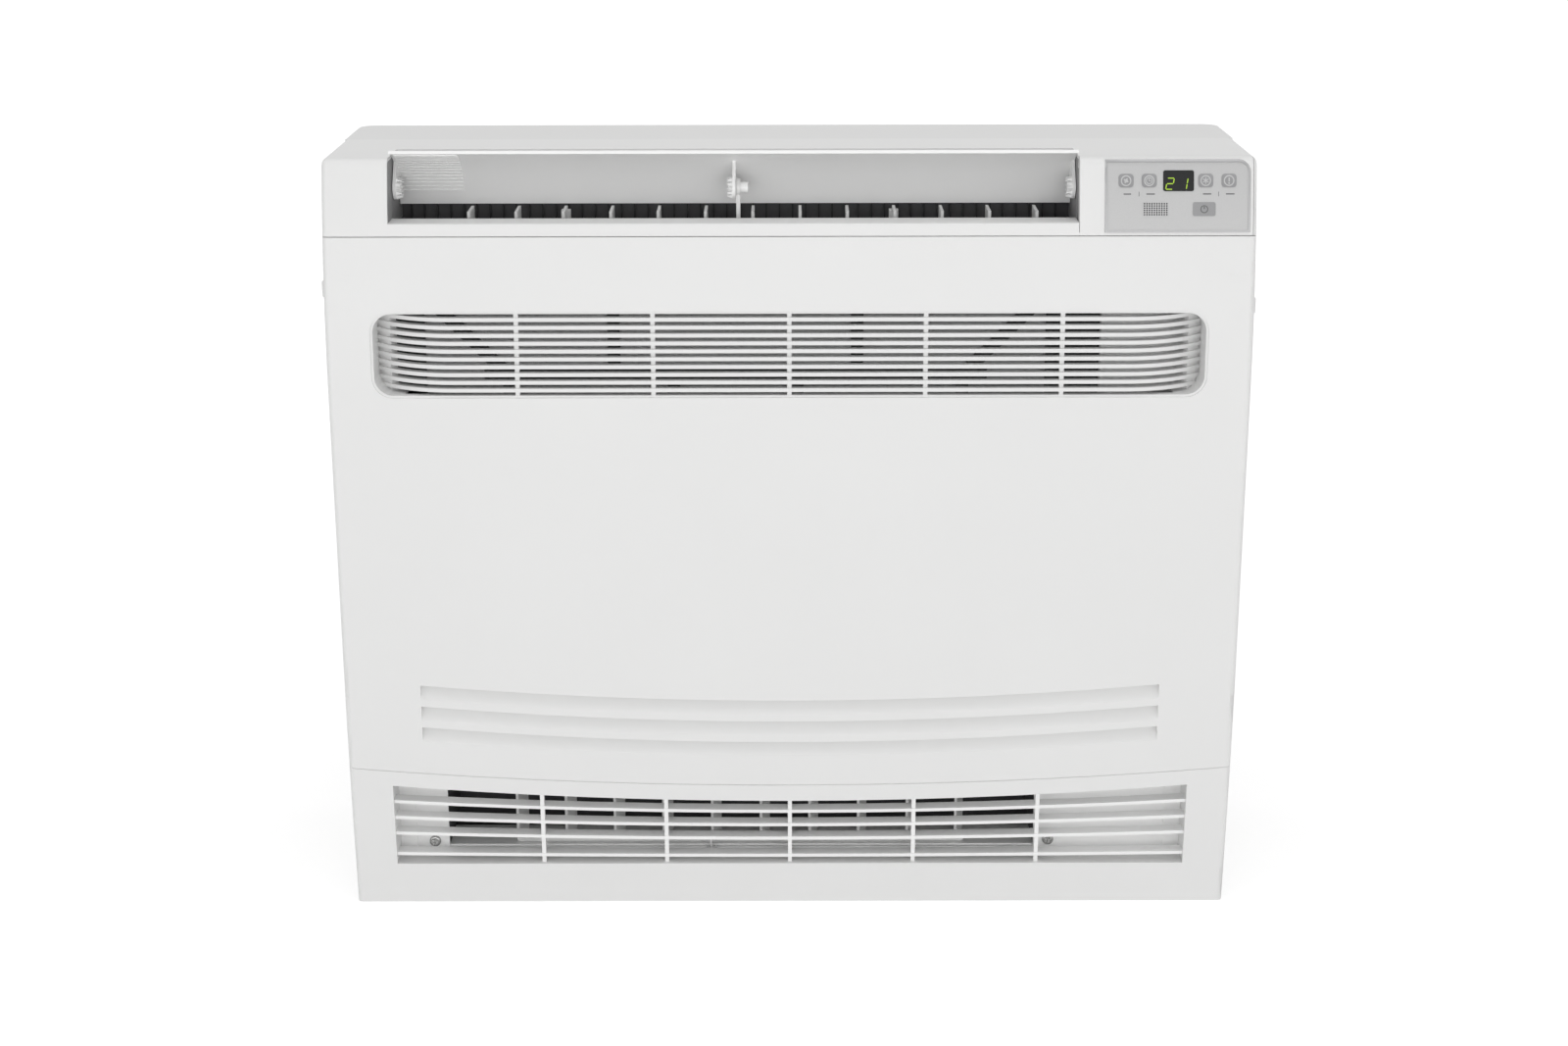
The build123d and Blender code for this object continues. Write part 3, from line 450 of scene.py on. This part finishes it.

# %% [markdown]
# The record already says which finish each piece has, so a loop dresses all the CAD nodes. Their shapes
# stay as they are; only their material slots change. A few pieces get a finish of their own: the mouldings
# inside the lower outlet and the electric box get a lighter white, which is painted light that lifts the
# shade in those recesses; the cheeks of the upper outlet get a dark grey, which is painted shade; and the
# receiver's window is sprayed with the plate around it.

# %% Dress the CAD nodes
OWN_FINISH = {
    # The cheeks of the upper outlet are darkened: painted shade for the shadow beside the flap's ends.
    "outlet_cheek_left": "painted_shade_duct",
    "outlet_cheek_right": "painted_shade_duct",
    "receiver_window": "silver_plate",
    # These get the lighter white: painted light that lifts the shade inside the lower outlet and at the
    # electric box.
    "outlet_grille": "painted_light_white",
    "outlet_back_plate": "painted_light_white",
    "duct_floor": "painted_light_white",
    "electric_box": "painted_light_white",
}
for part in frame["record"]["subparts"]:
    piece = nodes[part["node"]]
    piece.data.materials.clear()
    piece.data.materials.append(finishes[OWN_FINISH.get(part["node"], part["material_slot"])])
print("dressed", len(nodes), "CAD nodes")

# %% [markdown]
# What follows is modelled here, because it is too small or too fine for the solids: the control panel's
# edge, signs and digits, the screws, a clip, the latches' grips and marks, and the teeth on the flap's
# hubs. These helpers select, edit and finish one piece. A piece could keep its own origin, but each has
# its place, turn and size applied, so that it rides on its body like the CAD nodes.

# %% Editing helpers
SMOOTH_BELOW = math.radians(30)


def only(*pieces):
    """Select these pieces and nothing else; the first is active."""
    bpy.ops.object.select_all(action="DESELECT")
    for piece in pieces:
        piece.select_set(True)
    bpy.context.view_layer.objects.active = pieces[0]


def edit(piece):
    """Edit mode with every face selected."""
    only(piece)
    bpy.ops.object.mode_set(mode="EDIT")
    bpy.ops.mesh.select_mode(type="FACE")
    bpy.ops.mesh.select_all(action="SELECT")


def done():
    """Back to object mode."""
    bpy.ops.object.mode_set(mode="OBJECT")


def pick(piece, test):
    """In edit mode, select the faces that pass a test."""
    bpy.ops.mesh.select_all(action="DESELECT")
    shape = bmesh.from_edit_mesh(piece.data)
    for face in shape.faces:
        face.select_set(test(face))
    bmesh.update_edit_mesh(piece.data)


def cut_away(piece, test):
    """Delete the faces whose middle passes a test."""
    edit(piece)
    pick(piece, lambda face: test(face.calc_center_median()))
    bpy.ops.mesh.delete(type="FACE")
    done()


def in_place():
    """The active piece with its place, turn and size applied."""
    bpy.ops.object.transform_apply(location=True, rotation=True, scale=True)
    return bpy.context.object


def joined(pieces):
    """Several pieces as one object."""
    only(*pieces)
    bpy.ops.object.join()
    return pieces[0]


def apply_all(piece):
    """Apply the modifiers in their order."""
    only(piece)
    for modifier in list(piece.modifiers):
        bpy.ops.object.modifier_apply(modifier=modifier.name)


def repeat(piece, count, step):
    """Row of copies at a fixed step."""
    row = piece.modifiers.new("repeat", "ARRAY")
    row.count = count
    row.use_relative_offset = False
    row.use_constant_offset = True
    row.constant_offset_displace = step


def soften(piece, width, segments):
    """Rounded edges all over."""
    soft = piece.modifiers.new("soft", "BEVEL")
    soft.width = width
    soft.segments = segments


def settle(piece, name, body, finish):
    """Name a finished piece, dress it and let it ride on its body."""
    only(piece)
    bpy.ops.object.shade_smooth_by_angle(angle=SMOOTH_BELOW)
    piece.name = name
    piece.data.name = name
    piece.data.materials.clear()
    piece.data.materials.append(finishes[finish])
    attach(piece, body)
    print(name, len(piece.data.polygons), "faces on", body)
    return piece


# %% [markdown]
# A sign on a curved shoulder could be drawn point by point on the curve. It is easier to draw it flat in
# front of the cabinet, lay it on the CAD face along Y with a Shrinkwrap, and give it a thickness.

# %% Flat shapes and draping
START_Y = cad_low[1] - 30 * MM
SUNK = 0.2 * MM
PRINT_PROUD = 0.04 * MM
PRINT_SUNK = 0.05 * MM


def flat(width, height, x, z, turn=0.0):
    """Upright flat plate that faces the front."""
    bpy.ops.mesh.primitive_plane_add(size=1, location=(x, START_Y, z), rotation=(math.pi / 2, turn, 0))
    bpy.context.object.scale = (width, height, 1)
    return in_place()


def disc(radius, x, z, sides):
    """Upright flat disc that faces the front."""
    bpy.ops.mesh.primitive_circle_add(
        vertices=sides, radius=radius, fill_type="NGON",
        location=(x, START_Y, z), rotation=(math.pi / 2, 0, 0),
    )
    return in_place()


def round_corners(piece, radius, segments):
    """Round every corner of a flat piece."""
    edit(piece)
    bpy.ops.mesh.bevel(offset=radius, segments=segments, affect="VERTICES")
    done()
    return piece


def hollow(piece, band):
    """Leave only a band along the edge of a flat piece."""
    edit(piece)
    bpy.ops.mesh.inset(thickness=band)
    bpy.ops.mesh.delete(type="FACE")
    done()
    return piece


def drape(piece, onto, proud, sunk=SUNK):
    """Lay a flat piece on a CAD face along Y and give it a thickness."""
    lay = piece.modifiers.new("lay", "SHRINKWRAP")
    lay.target = nodes[onto]
    lay.wrap_method = "PROJECT"
    lay.use_project_y = True
    lay.use_positive_direction = True
    lay.use_negative_direction = False
    thick = piece.modifiers.new("thick", "SOLIDIFY")
    thick.thickness = proud + sunk
    thick.offset = (proud - sunk) / (proud + sunk)
    apply_all(piece)
    return piece


def printed(pieces, onto):
    """Print: a film on a CAD face."""
    return drape(joined(pieces), onto, PRINT_PROUD, PRINT_SUNK)


print("flat shapes start at y", round(START_Y, 4))

# %% [markdown]
# The control panel's silver plate has a narrow bright edge, a plated frame that stands a little proud.
# A plate of the same outline gets the large corner by a vertex bevel; insetting it and deleting the middle
# leaves the frame, and a subdivision lets it follow the shoulder.

# %% Control bezel
BEZEL_BAND = 1.6 * MM
BEZEL_INSET = 0.15 * MM
BEZEL_CORNER = 8.8 * MM
BEZEL_PROUD = 0.5 * MM
BEZEL_CUTS = 5

plate_low, plate_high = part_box("control_panel")
plate_middle = (plate_low + plate_high) / 2
bezel = flat(
    plate_high.x - plate_low.x - 2 * BEZEL_INSET,
    plate_high.z - plate_low.z - 2 * BEZEL_INSET,
    plate_middle.x,
    plate_middle.z,
)
only(bezel)
bpy.ops.object.mode_set(mode="EDIT")
bpy.ops.mesh.select_mode(type="VERT")
bpy.ops.mesh.select_all(action="DESELECT")
shape = bmesh.from_edit_mesh(bezel.data)
for vertex in shape.verts:
    vertex.select_set(vertex.co.x > plate_middle.x and vertex.co.z > plate_middle.z)
bmesh.update_edit_mesh(bezel.data)
bpy.ops.mesh.bevel(offset=BEZEL_CORNER, segments=8, affect="VERTICES")
done()
hollow(bezel, BEZEL_BAND)
edit(bezel)
bpy.ops.mesh.subdivide(number_cuts=BEZEL_CUTS)
done()
drape(bezel, "control_panel", BEZEL_PROUD)
settle(bezel, "control_bezel", "cabinet", "plated_edge")

# %% [markdown]
# Four tiles tell the state. Each is a grey rounded square with a raised border, and they stand for the
# plain CAD windows. One function makes a tile from a flat plate: corners by a vertex bevel, the border by
# an inset that sinks. Places on the plate are in millimetres from its left edge and from the cabinet's top.

# %% Sign tiles
TILE_OFFSETS = (15.6, 32.9, 75.1, 92.5)
TILE_DROP = 16.5
TILE_WIDTH = 11.2
TILE_HEIGHT = 9.8
TILE_CORNER = 2.6
TILE_PROUD = 0.45
TILE_BORDER = 0.5
TILE_SINK = 0.2
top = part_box("top_cover")[1].z


def on_plate(offset, drop):
    """Place on the control plate, from its left edge and from the cabinet's top in millimetres."""
    return plate_low.x + offset * MM, top - drop * MM


def sign_tile(offset):
    """Rounded tile with a raised border."""
    tile = flat(TILE_WIDTH * MM, TILE_HEIGHT * MM, *on_plate(offset, TILE_DROP))
    round_corners(tile, TILE_CORNER * MM, 6)
    drape(tile, "control_panel", TILE_PROUD * MM)
    edit(tile)
    pick(tile, lambda face: face.normal.y < -0.8)
    bpy.ops.mesh.inset(thickness=TILE_BORDER * MM, depth=-TILE_SINK * MM)
    done()
    return tile


tiles = joined([sign_tile(offset) for offset in TILE_OFFSETS])
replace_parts(settle(tiles, "sign_tiles", "cabinet", "grey_window"), "indicator_windows")

# %% [markdown]
# On each tile a ring and a plain sign are printed in a lighter grey: a fan, a clock, a frost star and an
# exclamation mark. They are drawn with two pens, a straight stroke and a ring, and laid on the plate a
# little below the tiles' border.

# %% Tile signs
RING_RADIUS = 3.9
STROKE = 0.75
SIGN_BELOW = 0.08
FAN_TURNS = (20, 110, 200, 290)
FAN_LEAN = 35
FAN_BLADE = 1.7
FAN_BAND = 1.0
CLOCK_RADIUS = 2.5
CLOCK_BAND = 0.6
CLOCK_HANDS = ((0.0, -0.8, 1.6, 0), (0.6, 0.2, 1.4, 100))
FROST_TURNS = (0, 60, 120)
FROST_LENGTH = 4.8
FROST_BAND = 0.65
FAULT_RISE = 0.7
FAULT_LENGTH = 2.9
FAULT_BAND = 0.9
FAULT_DOT = 0.6
FAULT_DOT_DROP = 1.9


def stroke(offset, drop, length, turn=0.0, width=STROKE):
    """Straight printed stroke, upright before it is turned."""
    return flat(width * MM, length * MM, *on_plate(offset, drop), math.radians(turn))


def sign_ring(offset, drop, radius, band=STROKE):
    """Printed ring."""
    return hollow(disc(radius * MM, *on_plate(offset, drop), 40), band * MM)


signs = [sign_ring(offset, TILE_DROP, RING_RADIUS) for offset in TILE_OFFSETS]
fan, clock, frost, fault = TILE_OFFSETS
for turn in FAN_TURNS:
    lean = math.radians(turn)
    middle = (fan + math.sin(lean), TILE_DROP - math.cos(lean))
    signs.append(stroke(*middle, FAN_BLADE, turn + FAN_LEAN, FAN_BAND))
signs.append(sign_ring(clock, TILE_DROP, CLOCK_RADIUS, CLOCK_BAND))
for across, lower, length, turn in CLOCK_HANDS:
    signs.append(stroke(clock + across, TILE_DROP + lower, length, turn, CLOCK_BAND))
for turn in FROST_TURNS:
    signs.append(stroke(frost, TILE_DROP, FROST_LENGTH, turn, FROST_BAND))
signs.append(stroke(fault, TILE_DROP - FAULT_RISE, FAULT_LENGTH, 0, FAULT_BAND))
signs.append(disc(FAULT_DOT * MM, *on_plate(fault, TILE_DROP + FAULT_DOT_DROP), 16))
settle(
    drape(joined(signs), "control_panel", (TILE_PROUD - SIGN_BELOW) * MM),
    "tile_signs", "cabinet", "pale_print",
)

# %% [markdown]
# The display shows two slanted seven-segment digits, lit yellow-green. Each segment is a plate with cut
# ends, and a digit only lists which of its seven segments are lit.

# %% Display digits
DIGIT_DROP = 18.6
DIGIT_WIDTH = 5.0
DIGIT_HEIGHT = 8.0
DIGIT_SLANT = math.radians(10)
SEGMENT_BAND = 0.68
SEGMENT_GAP = 0.25
SEGMENTS = {
    "top": (0, 1, True), "middle": (0, 0, True), "foot": (0, -1, True),
    "upper_left": (-1, 0.5, False), "upper_right": (1, 0.5, False),
    "lower_left": (-1, -0.5, False), "lower_right": (1, -0.5, False),
}
DIGITS = {
    48.4: ("top", "upper_right", "middle", "lower_left", "foot"),
    58.7: ("upper_right", "lower_right"),
}


def segment(offset, key):
    """One bar of a digit, with its corners cut."""
    across, rise, level = SEGMENTS[key]
    up = rise * DIGIT_HEIGHT / 2
    side = across * DIGIT_WIDTH / 2 + up * math.tan(DIGIT_SLANT)
    length = (DIGIT_WIDTH if level else DIGIT_HEIGHT / 2) - 2 * SEGMENT_GAP
    turn = math.pi / 2 if level else DIGIT_SLANT
    bar = flat(SEGMENT_BAND * MM, length * MM, *on_plate(offset + side, DIGIT_DROP - up), turn)
    return round_corners(bar, SEGMENT_BAND * MM / 3, 1)


lit = [segment(offset, key) for offset, keys in DIGITS.items() for key in keys]
settle(
    printed(lit, "display_window"),
    "display_digits", "cabinet", "lit_segment",
)

# %% [markdown]
# Under the tiles the real plate has printed words. They are left off: short bars hold their places, with
# the two thin dividers between them.

# %% Panel prints
LABEL_DROP = 26.1
LABEL_BAND = 0.9
LABELS = ((16.6, 5.6), (34.0, 6.4), (76.2, 6.2), (93.4, 6.4))
DIVIDERS = (25.3, 84.8)
DIVIDER_LENGTH = 3.4
DIVIDER_BAND = 0.4

prints = [stroke(offset, LABEL_DROP, length, 90, LABEL_BAND) for offset, length in LABELS]
prints += [stroke(offset, LABEL_DROP, DIVIDER_LENGTH, 0, DIVIDER_BAND) for offset in DIVIDERS]
settle(
    printed(prints, "control_panel"),
    "panel_prints", "cabinet", "grey_print",
)

# %% [markdown]
# The infrared receiver looks out through a grid of small dark dots. One dot is modelled and two arrays
# repeat it; a margin keeps the corner dots inside the window's rounded corners.

# %% Receiver dots
DOT_COLUMNS, DOT_ROWS = 10, 6
DOT_RADIUS = 0.62 * MM
DOT_MARGIN = 0.25 * MM
receiver_low, receiver_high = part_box("receiver_window")
pitch_x = (receiver_high.x - receiver_low.x - 2 * DOT_MARGIN) / DOT_COLUMNS
pitch_z = (receiver_high.z - receiver_low.z - 2 * DOT_MARGIN) / DOT_ROWS
first_dot = (receiver_low.x + DOT_MARGIN + pitch_x / 2, receiver_low.z + DOT_MARGIN + pitch_z / 2)
dots = disc(DOT_RADIUS, *first_dot, 10)
repeat(dots, DOT_COLUMNS, (pitch_x, 0, 0))
repeat(dots, DOT_ROWS, (0, 0, pitch_z))
apply_all(dots)
settle(
    printed([dots], "receiver_window"),
    "receiver_dots", "cabinet", "black_plastic",
)

# %% [markdown]
# The button has the usual sign of a ring with a gap and a bar. The faces of the ring that lie in the gap
# are deleted, and the bar is a plate of its own.

# %% Power sign
POWER_RADIUS = 2.9 * MM
POWER_BAND = 0.7 * MM
POWER_GAP = 0.9 * MM
POWER_BAR = (0.8 * MM, 3.0 * MM)
POWER_BAR_RISE = 1.6 * MM
button_low, button_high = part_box("power_button")
button_x, button_z = (button_low.x + button_high.x) / 2, (button_low.z + button_high.z) / 2
ring = hollow(disc(POWER_RADIUS, button_x, button_z, 40), POWER_BAND)
cut_away(ring, lambda middle: middle.z > button_z and abs(middle.x - button_x) < POWER_GAP)
bar = flat(*POWER_BAR, button_x, button_z + POWER_BAR_RISE)
settle(
    printed([ring, bar], "power_button"),
    "power_sign", "cabinet", "grey_print",
)

# %% [markdown]
# Two cross-head screws hold the plate behind the lower outlet. The head is a cylinder whose front edge is
# bevelled into a low dome, and a boolean with two crossed blades cuts the driver's recess. The second screw
# is a copy with its own mesh.

# %% Outlet screws
SCREW_RADIUS = 4.6 * MM
SCREW_RISE = 2.4 * MM
SCREW_SEAT = 1.2 * MM
SCREW_DOME = 1.5 * MM
SCREW_BLADE = (1.6 * MM, 3.8 * MM, 5.6 * MM)
SCREW_PLACES = ((-288.6, 43.5), (209.8, 44.4))
SCREW_TURN = math.radians(25)
wall_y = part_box("outlet_back_plate")[0].y + SCREW_SEAT

(first_x, first_z), (second_x, second_z) = SCREW_PLACES
bpy.ops.mesh.primitive_cylinder_add(
    vertices=40, radius=SCREW_RADIUS, depth=SCREW_RISE,
    location=(first_x * MM, wall_y - SCREW_RISE / 2, first_z * MM), rotation=(math.pi / 2, 0, 0),
)
head = in_place()
edit(head)
pick(head, lambda face: face.normal.y < -0.9)
bpy.ops.mesh.bevel(offset=SCREW_DOME, segments=5, profile=0.5, affect="EDGES")
done()
blades = []
for turn in (SCREW_TURN, SCREW_TURN + math.pi / 2):
    bpy.ops.mesh.primitive_cube_add(
        size=1, location=(first_x * MM, wall_y - SCREW_RISE, first_z * MM), rotation=(0, turn, 0)
    )
    bpy.context.object.scale = SCREW_BLADE
    blades.append(in_place())
cutter = joined(blades)
cross = head.modifiers.new("cross", "BOOLEAN")
cross.operation = "DIFFERENCE"
cross.solver = "EXACT"
cross.use_self = True
cross.object = cutter
apply_all(head)
bpy.data.objects.remove(cutter)
only(head)
bpy.ops.object.duplicate()
bpy.ops.transform.translate(value=((second_x - first_x) * MM, 0, (second_z - first_z) * MM))
second = in_place()
settle(head, "outlet_screw_left", "cabinet", "bright_steel")
settle(second, "outlet_screw_right", "cabinet", "bright_steel")

# %% [markdown]
# The blades of the lower outlet are linked by a rod, and a small white clip in the shape of an anchor holds
# it at the edge of the port. A ring with its upper half deleted gives the two arms, a strip the stem; both
# get a thickness and a soft edge.

# %% Vane clip
CLIP_X = -63.9 * MM
CLIP_Z = 40.2 * MM
CLIP_RADIUS = 5.2 * MM
CLIP_BAND = 1.5 * MM
CLIP_STEM = 14.0 * MM
CLIP_THICKNESS = 2.0 * MM
CLIP_SOFT = 0.3 * MM
port_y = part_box("outlet_back_plate")[0].y

arms = hollow(disc(CLIP_RADIUS, CLIP_X, CLIP_Z, 32), CLIP_BAND)
cut_away(arms, lambda middle: middle.z > CLIP_Z)
stem = flat(CLIP_BAND, CLIP_STEM, CLIP_X, CLIP_Z - CLIP_RADIUS + CLIP_STEM / 2)
only(joined([arms, stem]))
bpy.ops.transform.translate(value=(0, port_y - START_Y, 0))
clip = in_place()
thick = clip.modifiers.new("thick", "SOLIDIFY")
thick.thickness = CLIP_THICKNESS
thick.offset = 1.0
soften(clip, CLIP_SOFT, 2)
apply_all(clip)
settle(clip, "vane_clip", "cabinet", "vane_plastic")

# %% [markdown]
# The latches are pushed with a fingertip, so their knobs have three grip ridges. One ridge is a small bar
# with soft edges, and an array repeats it up the knob.

# %% Latch grips
RIDGE_PITCH = 3.2 * MM
RIDGE_COUNT = 3
RIDGE_SIZE = (0.9 * MM, 7.0 * MM, 1.1 * MM)
RIDGE_SOFT = 0.35 * MM
for side, node in ((-1, "latch_left"), (1, "latch_right")):
    knob_low, knob_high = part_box(node)
    middle = (knob_low + knob_high) / 2
    face_x = knob_low.x if side < 0 else knob_high.x
    bpy.ops.mesh.primitive_cube_add(size=1, location=(face_x, middle.y, middle.z - RIDGE_PITCH))
    bpy.context.object.scale = RIDGE_SIZE
    ridge = in_place()
    soften(ridge, RIDGE_SOFT, 3)
    repeat(ridge, RIDGE_COUNT, (0, 0, RIDGE_PITCH))
    apply_all(ridge)
    settle(ridge, node + "_grip", node, "white_plastic")

# %% [markdown]
# Beside each latch the real panel has raised words that say which way locks. Plain signs take their place:
# an arrow with a closed padlock above, and an arrow with an open padlock below. They are the same white
# plastic, a fraction of a millimetre high.

# %% Latch marks
MARK_PROUD = 0.15 * MM
MARK_HIGH = 514.6 * MM
MARK_LOW = 489.1 * MM
ARROW_X = 340.0 * MM
ARROW_SHAFT = (3.4 * MM, 0.7 * MM)
ARROW_HEAD = 1.3 * MM
ARROW_REACH = 2.2 * MM
LOCK_X = 332.0 * MM
LOCK_BODY = (4.2 * MM, 3.2 * MM)
LOCK_BODY_DROP = 1.0 * MM
LOCK_CORNER = 0.5 * MM
SHACKLE_RADIUS = 1.7 * MM
SHACKLE_BAND = 0.6 * MM
SHACKLE_FOOT = 0.2 * MM
SHACKLE_CLOSED = (0.0, 0.6 * MM)
SHACKLE_OPEN = (1.2 * MM, 1.5 * MM)


def padlock(x, z, shift):
    """Small padlock sign; its shackle is shifted when open."""
    body = round_corners(flat(*LOCK_BODY, x, z - LOCK_BODY_DROP), LOCK_CORNER, 2)
    shackle_z = z + shift[1]
    shackle = hollow(disc(SHACKLE_RADIUS, x + shift[0], shackle_z, 24), SHACKLE_BAND)
    cut_away(shackle, lambda middle: middle.z < shackle_z - SHACKLE_FOOT)
    return [body, shackle]


def arrow(x, z, side):
    """Small arrow that points to the cabinet's side."""
    shaft = flat(*ARROW_SHAFT, x, z)
    tip_x = x + side * ARROW_REACH
    tip = disc(ARROW_HEAD, tip_x, z, 3)
    edit(tip)
    bpy.ops.transform.rotate(
        value=-side * math.pi / 2, orient_axis="Y", center_override=(tip_x, START_Y, z)
    )
    done()
    return [shaft, tip]


marks = []
for side in (-1, 1):
    for height, shift in ((MARK_HIGH, SHACKLE_CLOSED), (MARK_LOW, SHACKLE_OPEN)):
        marks += arrow(side * ARROW_X, height, side)
        marks += padlock(side * LOCK_X, height, shift)
settle(
    drape(joined(marks), "front_panel", MARK_PROUD),
    "latch_marks", "front_panel", "white_plastic",
)

# %% [markdown]
# Each hub of the flap has a crown of pointed teeth on one side, which its detent runs over, and a short
# collar around the pin. One tooth is a four-sided cone with a blunt tip; spinning it in copies about the
# pin makes the crown.

# %% Flap hubs
PIVOT_Y = -55.5 * MM
PIVOT_Z = 574.3 * MM
TOOTH_CIRCLE = 6.9 * MM
TOOTH_BASE = 1.9 * MM
TOOTH_TIP = TOOTH_BASE / 6
TOOTH_LENGTH = 4.2 * MM
TOOTH_COUNT = 12
COLLAR_RADIUS = 5.4 * MM
COLLAR_LENGTH = 3.2 * MM
COLLAR_BAND = 1.4 * MM
COLLAR_SOFT = 0.4 * MM
HUBS = {
    "flap_hub_left": (-297.5 * MM, 1),
    "flap_hub_middle": (-42.9 * MM, -1),
    "flap_hub_right": (214.3 * MM, -1),
}
for name, (face_x, way) in HUBS.items():
    bpy.ops.mesh.primitive_cone_add(
        vertices=4, radius1=TOOTH_BASE, radius2=TOOTH_TIP, depth=TOOTH_LENGTH,
        location=(face_x + way * TOOTH_LENGTH / 2, PIVOT_Y, PIVOT_Z + TOOTH_CIRCLE),
        rotation=(0, way * math.pi / 2, 0),
    )
    crown = in_place()
    edit(crown)
    bpy.ops.mesh.spin(
        steps=TOOTH_COUNT, dupli=True, angle=2 * math.pi, use_auto_merge=False,
        center=(face_x, PIVOT_Y, PIVOT_Z), axis=(1, 0, 0),
    )
    done()
    bpy.ops.mesh.primitive_cylinder_add(
        vertices=32, radius=COLLAR_RADIUS, depth=COLLAR_LENGTH,
        location=(face_x + way * COLLAR_LENGTH / 2, PIVOT_Y, PIVOT_Z), rotation=(0, math.pi / 2, 0),
    )
    collar = in_place()
    edit(collar)
    pick(collar, lambda face: face.normal.x * way > 0.9)
    bpy.ops.mesh.inset(thickness=COLLAR_BAND)
    bpy.ops.mesh.bevel(offset=COLLAR_SOFT, segments=2, affect="EDGES")
    done()
    settle(joined([crown, collar]), name, "flap", "flap_plastic")
